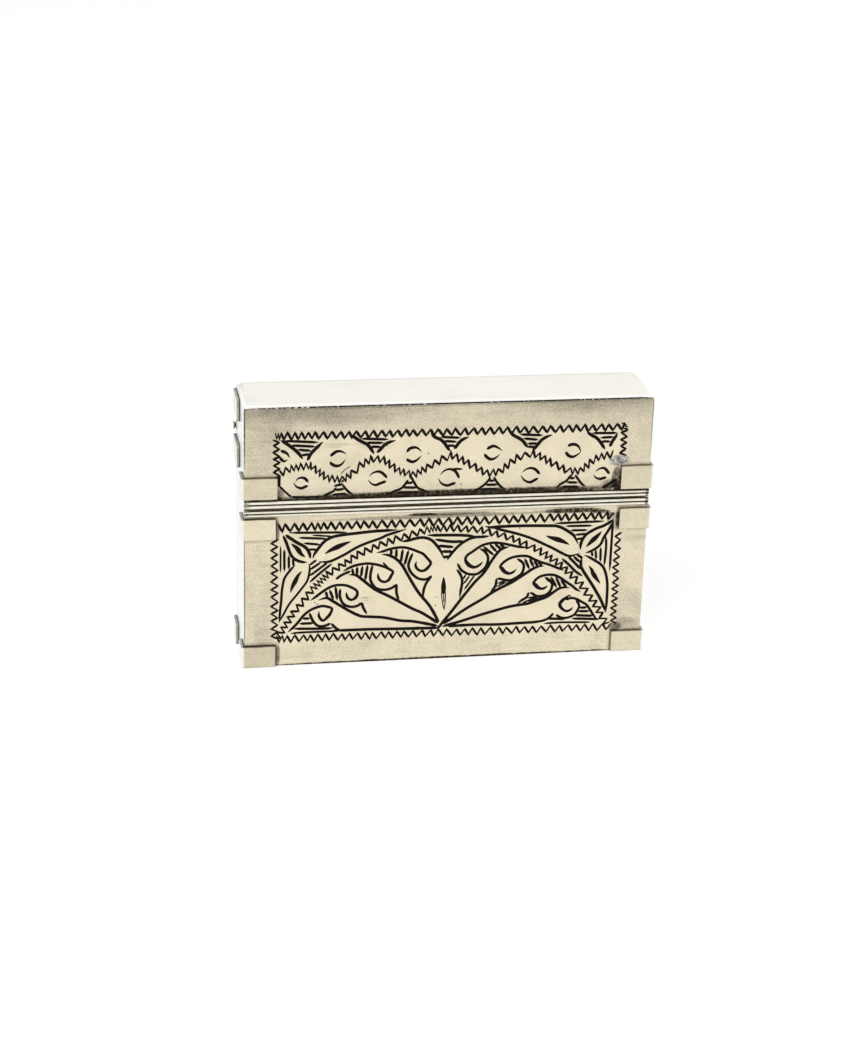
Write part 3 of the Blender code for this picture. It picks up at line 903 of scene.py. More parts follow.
def standing_triangle(plate, left, right, lines):
    """A shaded triangle that stands at the parting between two lobes."""
    plate.cut(*left, width=0.45, start=0.25, end=0.05)
    plate.cut(*right, width=0.45, start=0.05, end=0.25)
    hatch(plate, *lines, width=0.48)

def open_seam(plate):
    """The seam along the top, where the bent strip shows past the front sheet."""
    length = 2 * HALF_LENGTH
    low, high = TOP_MM - 2 * RIM_SHOWN, TOP_MM - RIM_SHOWN
    middle = [(x, high) for x in range(2, round(length) - 1, 3)]
    first = ((0.35, low - 0.5), (0.55, high - 0.2))
    plate.cut(*first, *middle, (length - 0.5, high - 0.2), width=SEAM_WIDTH, end=0.01)

def engrave_lid(plate, wriggler):
    """The lid's field: a zigzag frame, a waving zigzag, shaded triangles and eyes."""
    open_seam(plate)
    band = (
        (7.1, 56.9), 2, (8.3, 56.9), 5, (16.2, 56.85), 4, (23.75, 56.8), 6, (35.0, 56.8), 4,
        (42.5, 56.75), 9, (60.6, 56.7), 7, (74.9, 56.7), 6, (86.5, 56.65), 1, (88.3, 56.8),
    )
    wriggler.cut(plate, *band, height=1.75)
    hatch(
        plate, ((87.5, 57.7), (88.6, 57.2)), ((87.7, 57.1), (89.0, 56.7)), ((87.8, 56.4), (89.0, 56.2)),
        width=0.3,
    )
    wriggler.cut(plate, (7.5, 46.6), 3, (7.4, 51.35), 3, (7.35, 56.2), height=1.5)
    wriggler.cut(plate, (88.25, 56.0), 2, (88.2, 52.75), 2, (88.2, 49.6), height=1.45)
    wave = (
        (8.2, 47.85), 2, (10.9, 49.15), 4, (15.1, 49.7), 4, (19.0, 46.4), 3, (22.5, 45.95), 2,
        (24.7, 47.3), 1, (26.6, 49.2), 2, (29.0, 50.8), 2, (32.0, 50.6), 3, (35.4, 47.7), 3,
        (38.9, 46.5), 3, (42.2, 48.3), 3, (47.45, 51.2), 3, (51.6, 49.0), 3, (56.1, 46.3), 2,
        (59.0, 46.6), 3, (63.0, 49.85), 2, (66.9, 51.05), 3, (70.8, 48.7), 3, (75.7, 46.1), 2,
        (78.3, 46.2), 3, (81.8, 49.2), 3, (85.9, 50.1),
    )
    wriggler.cut(plate, *wave, height=1.75, width=WAVE_WIDTH, upright=1.2)
    hanging_triangle(
        plate,
        ((8.25, 56), (10.3, 54.6), (12.3, 52.8), (13.4, 51.2)),
        ((18, 55.4), (16.9, 54.3), (15.2, 52.5), (14.4, 50.8)),
        (
            ((9, 55.8), (16.8, 55.2)), ((10.8, 54.65), (16.1, 54.2)),
            ((12.2, 53.6), (15.25, 53.2)), ((13.1, 52.2), (14.8, 52.4)),
        ),
    )
    hanging_triangle(
        plate,
        ((24.2, 56.9), (26.2, 55.4), (28.3, 54.1), (29.8, 51.9)),
        ((34.7, 55.1), (33.3, 54.75), (32.2, 54.2), (31.3, 53.2), (30.3, 52.2)),
        (((26.8, 55.75), (32.8, 55.4)), ((27.8, 54.75), (31.8, 54.6)), ((28.9, 53.75), (31.2, 53.65))),
    )
    hanging_triangle(
        plate,
        ((42.7, 56.7), (43.7, 55.6), (45, 55), (46, 54), (46.8, 52.8), (47.4, 52)),
        ((51.7, 55.4), (50.3, 54.9), (49.5, 54.25), (48.8, 53.3), (48.2, 52.5)),
        (((45.1, 55.6), (49.5, 55.25)), ((45.8, 54.6), (48.8, 54.3)), ((46.7, 53.5), (48.5, 53.3))),
    )
    hanging_triangle(
        plate,
        ((60.8, 56.9), (62, 55.5), (63.3, 54.75), (64.3, 54), (65.2, 52.8), (65.7, 52.25)),
        ((71.3, 55.3), (70, 54.9), (68.7, 54.1), (67.7, 52.8), (66.6, 51.5)),
        (
            ((63.7, 55.6), (68.8, 55.25)), ((64.5, 54.6), (67.8, 54.2)),
            ((65.5, 53.3), (67.8, 53.3)), ((65.5, 52.6), (67.3, 52.4)),
        ),
    )
    hanging_triangle(
        plate,
        ((79.3, 55.75), (80.5, 54.9), (81.7, 54.2), (82.7, 53.1), (83.9, 51.25)),
        ((86.7, 55.3), (86.2, 54.3), (85.5, 53.2), (84.9, 51.8)),
        (((80.7, 55.4), (86.5, 55.25)), ((82.7, 54.2), (85.7, 54.3)), ((83, 53.3), (85, 53.2))),
    )
    standing_triangle(
        plate,
        ((17.75, 41.9), (19.3, 42.7), (20.5, 43.3), (21.2, 44.2)),
        ((22.5, 44.8), (23.3, 43.7), (24.2, 42.8), (25.1, 42.3)),
        (((20.6, 44.5), (22.7, 44.9)), ((21, 43.5), (22.9, 43.7)), ((20.25, 42.4), (23.6, 42.5))),
    )
    plate.cut((22.7, 46), (22.4, 45.2), width=0.35)
    standing_triangle(
        plate,
        ((32.75, 41.8), (34.5, 42.7), (36, 43.25), (36.8, 44), (37.8, 45.5)),
        ((38.2, 46.5), (39, 45), (40, 43.4), (41.3, 42.75), (42.75, 42.2)),
        (((37.25, 44.6), (38.8, 44.7)), ((36.5, 43.6), (39.8, 43.4)), ((35.2, 42.4), (40.2, 42.3))),
    )
    standing_triangle(
        plate,
        ((52.8, 41.9), (54.5, 42.75), (55.8, 43.75), (56.7, 44.8), (57, 45.5)),
        ((57.7, 45.5), (58.5, 44.2), (59.5, 43), (60.7, 42.25)),
        (((56.8, 44.5), (57.9, 44.5)), ((55.9, 43.5), (58.75, 43.5)), ((54.8, 42.5), (58.75, 42.4))),
    )
    standing_triangle(
        plate,
        ((72.6, 42.1), (73.7, 43.1), (75, 43.8), (75.8, 44.8), (76.3, 45.4)),
        ((77, 45.3), (77.8, 44.2), (78.7, 43), (79.8, 42.25)),
        (((76, 44.4), (76.9, 44.5)), ((75.2, 43.5), (77.7, 43.3)), ((74, 42.4), (78, 42.3))),
    )
    plate.cut((8.05, 47.6), (8.0, 46.2), (7.95, 44.6), width=0.5, end=0.04)
    plate.cut((7.95, 45.0), (9.2, 43.7), (10.2, 42.7), (10.9, 42.15), width=0.38, start=0.04, end=0.04)
    plate.cut((10.7, 42.2), (14, 42.0), (17.9, 42.0), width=0.42, start=0.04)
    prick(plate, (50.1, 43.9), (48.8, 42.4), (42.3, 51.7), (32.7, 53.9))
    plate.cut((83.6, 41.75), (85, 42.5), (86.2, 43.2), (87.2, 43.75), width=0.6)
    plate.cut((85.5, 41.8), (86.5, 42.3), (87.3, 42.6), width=0.5)
    plate.cut((22, 47.3), (23.2, 48.5), (24.4, 49.2), width=0.15)
    for upper, lower in (
        (
            ((8.2, 53.5), (9, 53.2), (9.8, 52.7), (10.4, 51.6)),
            ((8, 52), (8.6, 51.2), (9.1, 50.85), (10, 51.3)),
        ),
        (
            ((19.6, 51.7), (20.5, 52.5), (21.25, 52.9), (22.3, 52.8), (23.4, 52.1)),
            ((19.6, 50.5), (20, 49.85), (21.1, 49.35), (22.2, 49.7), (23.2, 50.9)),
        ),
        (
            ((37.25, 52.1), (37.8, 52.9), (38.7, 53.25), (39.7, 53.1), (40.75, 52.1)),
            ((37.2, 50.6), (37.75, 50.1), (38.7, 49.75), (39.7, 50.2), (40.7, 51.25)),
        ),
        (
            ((55.8, 52.2), (56.7, 52.75), (57.3, 53), (58.2, 52.75), (59.6, 51.75)),
            ((55.3, 51.2), (56.1, 50.2), (57.2, 49.75), (58.2, 50.2), (59, 51)),
        ),
        (
            ((74.9, 52.3), (75.7, 52.75), (76.7, 52.75), (77.5, 52.25), (78, 51.3), (78.1, 50.75)),
            ((74.5, 51.1), (75.2, 50.1), (76.3, 49.7), (77.3, 50.2), (78.2, 50.9)),
        ),
    ):
        eye(plate, upper, lower, True, width=0.56)
    for upper, lower in (
        (
            ((11.75, 45.9), (12.3, 46.6), (13.3, 46.8), (14.1, 46.4), (14.7, 45.5)),
            ((11.3, 45.75), (11.8, 44.8), (13, 44.2), (13.8, 44.5), (14.7, 44.85)),
        ),
        (
            ((28.7, 46.4), (29.3, 47.25), (30.7, 47.7), (31.8, 47.2), (32.9, 46)),
            ((28.4, 45.8), (29.2, 44.8), (30.2, 44.4), (31.3, 44.8), (32.75, 45.3)),
        ),
        (
            ((45.1, 46.25), (46, 47.25), (47.2, 47.7), (48.3, 47.4), (49, 46.75), (49.7, 45.25)),
            ((44.7, 45.6), (45.5, 44.3), (46.8, 43.7), (48, 44), (49, 44.35)),
        ),
        (
            ((64.4, 46.2), (65.3, 47), (66.5, 47.3), (67.7, 46.8), (68.7, 45.6)),
            ((64.1, 45.7), (65, 44.4), (66.3, 43.8), (67.5, 44.3), (68.4, 44.8)),
        ),
        (
            ((81.9, 45.7), (82.5, 46.4), (83.7, 46.75), (84.5, 46.2), (85.3, 45.1)),
            ((81.5, 45.2), (82, 44.4), (83.2, 44), (83.8, 44.2), (84.7, 44.4)),
        ),
    ):
        eye(plate, upper, lower, False, width=0.52)
    plate.cut((47.8, 47.75), (50.5, 47.6), width=0.4)


def leaf(plate, upper, lower, vein, width=0.56, vein_width=0.85):
    """A leaf's two edges and the vein in it."""
    plate.cut(*upper, width=width, start=0.08, end=0.12)
    plate.cut(*lower, width=width * 0.9, start=0.10, end=0.12)
    lens(plate, *vein, width=vein_width)


def engrave_corner_leaves_left(plate):
    """Three leaves that meet above the arch on the left, with shading between them."""
    leaf(
        plate,
        ((9.4, 33), (10.7, 32), (12.2, 30.9), (13.7, 30), (14.7, 29), (15.2, 27.7), (15.3, 26.7)),
        ((8.9, 32.9), (9.6, 31.3), (10.2, 29.5), (10.8, 27.9), (11.8, 26.75), (13.2, 26.1), (14.6, 25.9)),
        ((10.8, 30.75), (12.2, 29.5), (13.2, 28), (14.2, 27.2)),
        width=0.6, vein_width=0.9,
    )
    leaf(
        plate,
        ((15.9, 26.7), (16.3, 28), (18.3, 30.7), (20, 31.8), (22, 32.3), (25, 32.6), (30, 33), (35.8, 33.15)),
        (
            (17.2, 26), (18.3, 25.85), (20, 25.95), (23.3, 27.5), (25.8, 29), (28.3, 30.1),
            (31.7, 31.25), (33.3, 32), (37.7, 33.25),
        ),
        ((18.6, 27.8), (20, 28.7), (21.7, 29.5), (23.3, 30.2), (24.8, 30.7)),
        vein_width=0.95,
    )
    leaf(
        plate,
        ((11.8, 25.5), (9.7, 22.8), (9.1, 21.3), (8.75, 19), (8.6, 16.5), (8.35, 14), (8.15, 10.9)),
        ((14.9, 25.7), (15.2, 24.3), (14.7, 21.5), (13.3, 19.3), (11.7, 17.2), (10.3, 15.3), (8.2, 11.2)),
        ((13.4, 23.8), (12.5, 22.7), (11.7, 21), (11.2, 20), (10.7, 18.4)),
        width=0.45,
    )
    hatch(
        plate,
        ((10.5, 33.4), (17, 33.2), (23.7, 33)), ((12.6, 32.1), (19, 31.6)),
        ((13.8, 30.7), (17.5, 30.2)), ((15, 29.1), (16.7, 29)),
    )
    hatch(plate, ((15.8, 32.6), (20.5, 32.1)), ((8.4, 30.1), (8.4, 23.7)), width=0.33)
    hatch(plate, ((9.25, 29.25), (9.3, 24)), ((10.3, 27.7), (10.35, 24.4)), ((11.3, 27), (11.4, 25.2)))
    hatch(
        plate,
        ((16.7, 26.4), (15.2, 25.2)), ((17.8, 25.8), (15.2, 24)), ((19.4, 25.7), (15.2, 22.5)),
        ((20.3, 25.3), (17.5, 23), (15.25, 20.9)),
    )


def engrave_corner_leaves_right(plate):
    """The three leaves on the right."""
    leaf(
        plate,
        (
            (56, 33.2), (57.7, 32.9), (60, 33), (65, 33), (71.7, 32.75), (73.3, 32.6),
            (75, 31.9), (77.3, 30.3), (78, 29.2), (78.8, 27.7),
        ),
        (
            (57.7, 32.9), (59.3, 32.4), (63.3, 31.25), (67, 29.9), (70.8, 28), (72.7, 27),
            (75.8, 25.2), (77, 24.9), (78.3, 25.2), (79.3, 25.6),
        ),
        ((70.75, 30.3), (72.2, 29.7), (73.7, 29.2), (75.3, 28.5), (76.6, 27.75)),
        vein_width=0.95,
    )
    leaf(
        plate,
        (
            (87.0, 33.7), (84.7, 32.3), (83, 31.7), (81.7, 31), (80.5, 30.2), (79.7, 29),
            (79.3, 27.7), (79.3, 26.3),
        ),
        ((87.0, 33.3), (85.7, 30.8), (84.8, 29.3), (84.2, 27.7), (83.2, 26.7), (81.8, 25.9), (80.5, 25.5)),
        ((84.25, 30.9), (83.2, 29.7), (82, 28.5), (80.6, 27)),
        vein_width=0.95,
    )
    leaf(
        plate,
        ((79.7, 24.5), (79.6, 22.8), (80, 21.4), (82.5, 17.5), (83.7, 15.5), (85, 13.2), (86.5, 9.8)),
        ((80.25, 25), (81.7, 24.3), (84.7, 22.2), (85.7, 20.3), (86.2, 18.2), (86.4, 15.7), (86.4, 10.2)),
        ((81.5, 22.25), (82.3, 21.2), (82.7, 20.2), (83.7, 18.7), (84.6, 17.5)),
    )
    hatch(
        plate,
        ((72.9, 33.3), (84.7, 33.4)), ((75.6, 32.5), (81.8, 32.4)), ((76.7, 31.4), (80.7, 31.3)),
        ((77.8, 30.2), (80.7, 30.4)), ((78.2, 29.1), (79.8, 29.25)),
    )
    hatch(
        plate,
        ((86.8, 34), (86.75, 28.7), (86.7, 20.7)), ((85.25, 29.5), (85.5, 27), (85.3, 22.3)),
        ((84.2, 26.7), (84.3, 23.2)), ((83, 26.2), (83.25, 23.8)), ((82.1, 25.7), (82.3, 24.7)),
    )
    hatch(
        plate,
        ((75, 24.3), (76.7, 22.7), (78.3, 21), (80.1, 19.7)), ((76.5, 24.7), (78, 23.2), (79.5, 21.5)),
        ((77.8, 24.7), (79.3, 23.25)), ((78.6, 25.1), (79.9, 24.3)),
        width=0.5,
    )


def petal(plate, outline, curl, scoop, tail, under, lines, fine=(), width=0.50, press=1.15):
    """One scroll petal of the fan: its outer edge, the curl at its tip, the scoop and tail below it,
    the long line to the root, and the shading in its hook, with fine shading in its tail. The curl is
    pressed deeper than the rest."""
    if Vector(curl[0]) != Vector(outline[-1]):
        outline = outline[::-1]
    plate.cut(*outline, *curl[1:], width=width, start=0.08, end=0.06)
    plate.cut(outline[-2], *curl, width=width * press, start=0.35, end=0.55)
    plate.cut(*scoop, width=width, start=0.06, end=0.05)
    plate.cut(*tail, width=width, start=0.10, end=0.25)
    plate.cut(*under, width=width * 1.1, start=0.08, end=0.03)
    plate.cut(*under[-3:], width=width * 1.25, start=0.7, end=0.30)
    hatch(plate, *lines, width=0.50)
    hatch(plate, *fine, width=0.36, overrun=0.0)


def engrave_petals_left(plate):
    """The left half of the fan, from the base upwards."""
    petal(
        plate,
        (
            (10.1, 8.4), (11.3, 9.5), (12.5, 10.8), (13.8, 12.5), (15.2, 13.7),
            (16.7, 14.4), (18.2, 14.75), (19.5, 14.5), (20.5, 14),
        ),
        ((20.5, 14), (20.1, 12.7), (19.3, 11.7), (18.4, 11), (17.7, 11.7), (17.4, 12.5), (17.5, 13.5)),
        ((15.2, 13.2), (15.7, 11.8), (16.3, 10.7), (17.2, 9.8), (18.2, 9.6), (19.2, 9.8), (20.25, 10.3)),
        ((20.25, 10.3), (21, 9.5), (21.7, 8.8), (22.7, 8.4)),
        ((20.9, 8.6), (22.7, 8.35), (29.2, 8.3), (36.7, 8.1), (45.8, 7.9)),
        (((13, 10.5), (16.2, 10.5)), ((13.75, 11.75), (15.2, 11.75)), ((11.6, 9.3), (18.3, 9), (20.8, 9.1))),
    )
    plate.cut((10.7, 8.1), (13.3, 8.25), (17.7, 8.25), (22.5, 8.2), width=0.4)
    petal(
        plate,
        (
            (15.4, 16.25), (16.7, 17.2), (18, 18.2), (19.3, 19.1), (20.8, 19.75),
            (22.3, 19.9), (23.8, 19.7), (25.3, 19), (26.3, 18.2),
        ),
        ((26.3, 18.2), (26.4, 17.3), (26, 16.5), (25.1, 16), (24.3, 16.4), (23.9, 17.2), (23.8, 18.1)),
        (
            (22.4, 19), (22.3, 17.3), (22.7, 15.8), (23.5, 14.8), (24.7, 14.3),
            (25.8, 14.25), (26.8, 14.6), (27.5, 15.3),
        ),
        ((27.5, 15.3), (27.75, 14.2), (28.2, 13.2), (28.8, 12.2)),
        (
            (17.2, 16.25), (18.3, 16.6), (19.3, 16.75), (20.5, 16), (23.7, 13.8), (25.3, 12.8), (27, 11.9),
            (28.3, 11.6), (32.5, 11.2), (36.7, 10.2), (40, 9.8), (45.8, 8.4),
        ),
        (((19, 18.3), (19.4, 17)), ((19.9, 18.75), (20.8, 16.3)), ((21.25, 19.5), (21.7, 16.2))),
    )
    petal(
        plate,
        (
            (22.9, 23.25), (24.7, 24.25), (26.2, 24.75), (28, 25), (29, 25),
            (30.7, 24.7), (32.2, 24.2), (33.3, 23.7), (34.7, 22.7),
        ),
        ((34.7, 22.7), (34.3, 21.7), (33.7, 20.6), (32.75, 20.2), (31.8, 20.6), (31.25, 21.5), (31.2, 22.6)),
        (
            (29.9, 24.7), (29.5, 22.8), (29.4, 21.2), (29.8, 20), (30.7, 18.8),
            (32, 18.3), (33.3, 18.25), (34.7, 18.7), (35.7, 19.6),
        ),
        ((35.7, 19.6), (35.6, 18.2), (35.8, 16.7), (36.4, 15.25)),
        (
            (24.2, 22.4), (26, 22.2), (27.2, 21.3), (29.8, 19), (31.2, 18), (34.3, 16.3),
            (39.2, 13.3), (41.7, 12), (44.2, 10.3), (45.8, 9),
        ),
        (
            ((25.1, 23.8), (25.4, 22.5)), ((26.25, 24.2), (26.25, 22.3)),
            ((27.5, 24.4), (27.2, 21.7)), ((28.7, 24.6), (28.2, 20.8)),
        ),
    )
    plate.cut((32.25, 25.2), (33.3, 24), (34.3, 23), width=0.35)
    plate.cut((21.25, 21.3), (22.7, 22.4), (24.8, 23.3), width=0.5)
    petal(
        plate,
        (
            (30.7, 27.6), (32.2, 27.9), (33.8, 28.4), (35.5, 28.7), (37.2, 28.7),
            (38.8, 28.25), (40.3, 27.6), (41.7, 26.9), (42.7, 25.8), (43.6, 24.6),
        ),
        ((43.6, 24.6), (43.2, 23.7), (42.3, 22.8), (41.4, 22.6), (40.5, 23.1), (40, 24), (40.2, 25.2)),
        (
            (39.3, 27.25), (38.7, 25.7), (38.3, 24.2), (38.7, 22.8), (39.5, 21.7),
            (40.7, 20.75), (42.2, 20.4), (43.2, 20.7), (44, 21.4),
        ),
        ((44, 21.3), (42.8, 19.7), (42.2, 18.2), (42, 16.5), (42.25, 15.7)),
        (
            (31.9, 27.1), (33.3, 27), (34.8, 26.3), (36, 25.3), (37, 24), (38.2, 21.8),
            (40.8, 17.3), (43.7, 13.5), (46, 9.2),
        ),
        (
            ((34.2, 28.2), (34.2, 27)), ((35.4, 28.3), (35.4, 26.2)),
            ((36.9, 28.2), (36.5, 25)), ((38.25, 27.9), (37.4, 24.25)),
        ),
    )


def engrave_petals_right(plate):
    """The right half of the fan, from the top downwards."""
    petal(
        plate,
        (
            (51.8, 25.3), (52.3, 26.2), (53.5, 27), (54.7, 27.9), (55.8, 28.5), (57.3, 28.9),
            (58.8, 29), (60.5, 28.75), (62.3, 28.3), (64.2, 27.8), (66.7, 27.4),
        ),
        ((51.8, 25.3), (52, 24.5), (52.8, 23.5), (54, 23), (55.2, 23.5), (56, 24.4)),
        (
            (55, 27.7), (56, 27.2), (56.8, 26.3), (57.2, 25.2), (57, 23.7), (56.5, 22.7),
            (55, 21.4), (54, 21.2), (52.8, 21.3), (51.7, 21.8), (50.7, 22.7), (49.9, 24.25),
        ),
        ((49.75, 22.75), (50.5, 21.7), (51.1, 20.4), (51.2, 19), (50.9, 16.8), (50.7, 15.2)),
        (
            (62.3, 27.9), (60.8, 27.5), (59.7, 26.8), (58.2, 24.7), (56.4, 21.6), (54.3, 19.3),
            (52.3, 16.7), (50, 13.5), (48.7, 11.7), (46.5, 8.8),
        ),
        (
            ((56, 28.1), (58.5, 25.9)), ((57.5, 28.6), (59.2, 26.7)), ((58.7, 28.7), (60.3, 27.2)),
            ((60, 28.5), (61.2, 27.5)),
        ),
        (((52.1, 21.3), (51.3, 20)), ((53, 21), (51.5, 18.75)), ((54.3, 21.2), (51.7, 17.3))),
        press=1.45,
    )
    petal(
        plate,
        (
            (60.2, 23), (61, 24), (62, 24.7), (63.3, 25.2), (65, 25.4), (66.7, 25.25), (68.3, 24.4),
            (70, 23.6), (71.7, 23), (73.3, 22.3), (75, 21.5), (75.7, 21.3),
        ),
        ((60.2, 23), (60.6, 22.4), (61.3, 21.55), (62.4, 21.05), (63.4, 21.4), (64.15, 22.2)),
        (
            (64.1, 24.8), (65.2, 24), (65.8, 23.2), (65.75, 21.8), (65.2, 20.7),
            (63.7, 19.7), (62.5, 19.3), (61, 19.6), (59.5, 20),
        ),
        ((59.45, 20), (59.35, 18.85), (59.15, 17.9), (58, 16.3)),
        (
            (70.8, 22.5), (69.7, 22.6), (68.3, 22.15), (67.1, 21.4), (66, 20.65), (64.8, 19.85), (63, 18.7),
            (61, 17.75), (59.5, 16.95), (58, 16.05), (56.5, 15), (52.3, 12.5), (48.7, 10), (46.7, 8.8),
        ),
        (
            ((66, 24.7), (67.2, 22)), ((67.2, 24.6), (68.2, 22.5)), ((68.3, 24), (69.2, 22.7)),
            ((69.3, 23.7), (70.2, 22.75)),
        ),
        (
            ((59.65, 18.6), (61.65, 19.25)), ((59.4, 17.75), (62, 19.1)),
            ((61.4, 18.3), (63, 19.1), (65.6, 20.75)),
        ),
        press=1.45,
    )
    petal(
        plate,
        (
            (68.4, 18.5), (69.2, 19.5), (70, 20), (71.3, 20.3), (72.7, 20.3), (73.8, 20),
            (75, 19.3), (76.3, 18.3), (77.7, 17.3), (78.8, 16.3), (80, 15.6),
        ),
        ((68.4, 18.5), (68.9, 17.8), (69.6, 17.1), (70.5, 16.8), (71.3, 17.1), (71.85, 17.6)),
        (
            (71, 19.8), (72.2, 18.8), (72.9, 18), (72.75, 16.7), (72.2, 15.75), (71.2, 15.1),
            (70, 14.9), (69, 15.1), (68.2, 15.7), (67.5, 15.9),
        ),
        ((67.3, 16.1), (66.95, 14.9), (65.9, 14.2), (64.6, 13.25)),
        (
            (77.3, 16.7), (76, 16.9), (74.8, 16.75), (73.7, 16.1), (71.7, 14.65), (69.3, 13.85),
            (67.2, 13.15), (65.1, 12.9), (62.7, 12.55), (59.7, 11.8), (56.7, 11), (54.3, 10.3),
            (50.3, 9.1), (46.7, 8.2),
        ),
        (((72.5, 19.8), (74, 17)), ((73.7, 19.7), (75, 16.9)), ((75, 18.8), (76.5, 16.8))),
        (
            ((67, 14.55), (69.4, 14.9)), ((65.9, 13.4), (67.7, 14.1), (69.6, 14.7)),
            ((67.2, 13.45), (69.2, 14.15), (71, 14.7)),
        ),
        press=1.45,
    )
    lens(plate, (71, 19.8), (73, 18.2), width=0.7)
    petal(
        plate,
        (
            (76.5, 13.8), (77.7, 14.1), (79, 13.8), (80.3, 13), (81.5, 12.2), (82.5, 10.8),
            (83.3, 9.5), (84.3, 8.25),
        ),
        (
            (77.3, 14.8), (76.5, 14.3), (75.7, 13.7), (75, 12.7), (75.3, 11.8),
            (76, 11.1), (76.8, 10.75), (77.7, 11.1), (78.25, 11.8),
        ),
        (
            (78.8, 13.5), (79.5, 12.7), (79.75, 11.7), (79.3, 10.7), (78.7, 9.8), (77.7, 9.25),
            (76.5, 9), (75.3, 9.2), (74.1, 10),
        ),
        ((73.6, 10.5), (73, 9.7), (72.2, 9), (70.8, 8.5), (69.2, 8.3)),
        ((71.5, 8.7), (69.2, 8.3), (65, 8.2), (60, 8.1), (54.2, 8.3), (48, 8.2)),
        (
            ((80, 11.5), (81.5, 11.5)), ((79.5, 10.6), (82.3, 10.5)), ((78.8, 9.6), (83.2, 9.25)),
            ((72.3, 9), (74.3, 8.9), (76.3, 8.7)), ((78.2, 8.75), (80.8, 8.6), (84.8, 8.3)),
        ),
        width=0.48,
        press=1.4,
    )
    plate.cut((71.25, 7.8), (75, 7.9), (78.3, 7.8), (82.8, 7.6), width=0.4)


def engrave_body(plate, wriggler):
    """The body's field: a zigzag frame, a zigzag arch, leaves in the corners and a fan of scroll petals."""
    wriggler.cut(
        plate, (7.8, 34.6), 1, (9.4, 34.7), 3, (15.6, 34.7), 2, (18.4, 34.7), 2, (21.9, 34.72), 4,
        (29.7, 34.72), 9, (49.55, 34.75), 9, (69.45, 34.75), 8,
        (85.2, 34.85), 1, (86.5, 34.4), height=1.95,
    )
    left = ((7.0, 31.9), 5, (6.95, 22.5), 5, (7.0, 12.25), 3, (7.05, 6.9))
    right = ((88.25, 30.4), 4, (88.2, 22.4), 4, (88.25, 15.1), 5, (88.3, 7.0))
    bottom = (
        (7.5, 6.8), 1, (8.8, 6.8), 1, (10.1, 6.75), 7, (22.8, 6.7), 8, (37.8, 6.65), 11,
        (60.3, 6.5), 13, (87.7, 6.25),
    )
    for stations, height in ((left, 1.65), (right, 1.5), (bottom, 1.75)):
        wriggler.cut(plate, *stations, height=height, width=THIN_LEG)
    wriggler.cut(
        plate, (7.5, 6.8), 1, (8.3, 8.05), 4, (11.5, 13.4), 4, (16.1, 19.3), 5, (19.4, 22.75), 5,
        (26.7, 27.5), 4, (33.5, 30.35), 5, (42.7, 32.9), 3, (44.9, 33.15), 2, (47.9, 33.2), 4,
        (55.2, 32.4), 4, (62.45, 30.1), 4, (69.5, 26.55), 4, (74.65, 22.85), 4, (79.7, 17.7), 3,
        (83.4, 12.65), 3, (86.0, 8.05), 1, (86.8, 6.9), height=1.7, width=WAVE_WIDTH,
    )
    engrave_corner_leaves_left(plate)
    engrave_corner_leaves_right(plate)
    engrave_petals_left(plate)
    engrave_petals_right(plate)
    plate.cut(
        (36.4, 30.2), (38.2, 30.4), (39.7, 30.8), (41.2, 31), (42.5, 30.8), (43.7, 30.2),
        (44.8, 29), (45.7, 27.7), (46.5, 26), (46.8, 25.3), width=0.55, end=0.25,
    )
    plate.cut(
        (57.4, 30.75), (55.7, 30.6), (54.3, 30.6), (52.8, 30.3), (51.3, 29.5), (50, 28.5),
        (48.7, 27), (47.8, 25.7), (47.5, 25), width=0.52,
    )
    hatch(
        plate,
        ((42.7, 31.5), (50, 31.25), (54, 30.8)), ((44.5, 30.4), (48.3, 29.7), (51.3, 29.7)),
        ((45.2, 28.8), (48.9, 28.3)), ((46, 27.3), (48.7, 27.2)), ((46.5, 25.9), (47.8, 25.9)),
        width=0.55,
    )
    plate.cut((46.75, 20.9), (46.8, 18.8), (46.85, 16.3), width=0.85, start=0.5, end=0.3)
    hatch(
        plate, ((46.45, 18.3), (46.4, 16.3), (46.65, 14.6), (47.05, 12.6)),
        ((47.15, 18.3), (47.3, 16.3), (47.3, 14.6), (47.15, 12.6)), ((46.85, 16.8), (47.0, 14.4)), width=0.2,
    )
    prick(plate, (45.0, 13.7), (64.5, 32.4), (16.5, 15.7), (17.1, 15.2), (58.2, 26.4))
    plate.cut((45.5, 7.5), (46.5, 8.8), (47.2, 10), width=0.5)


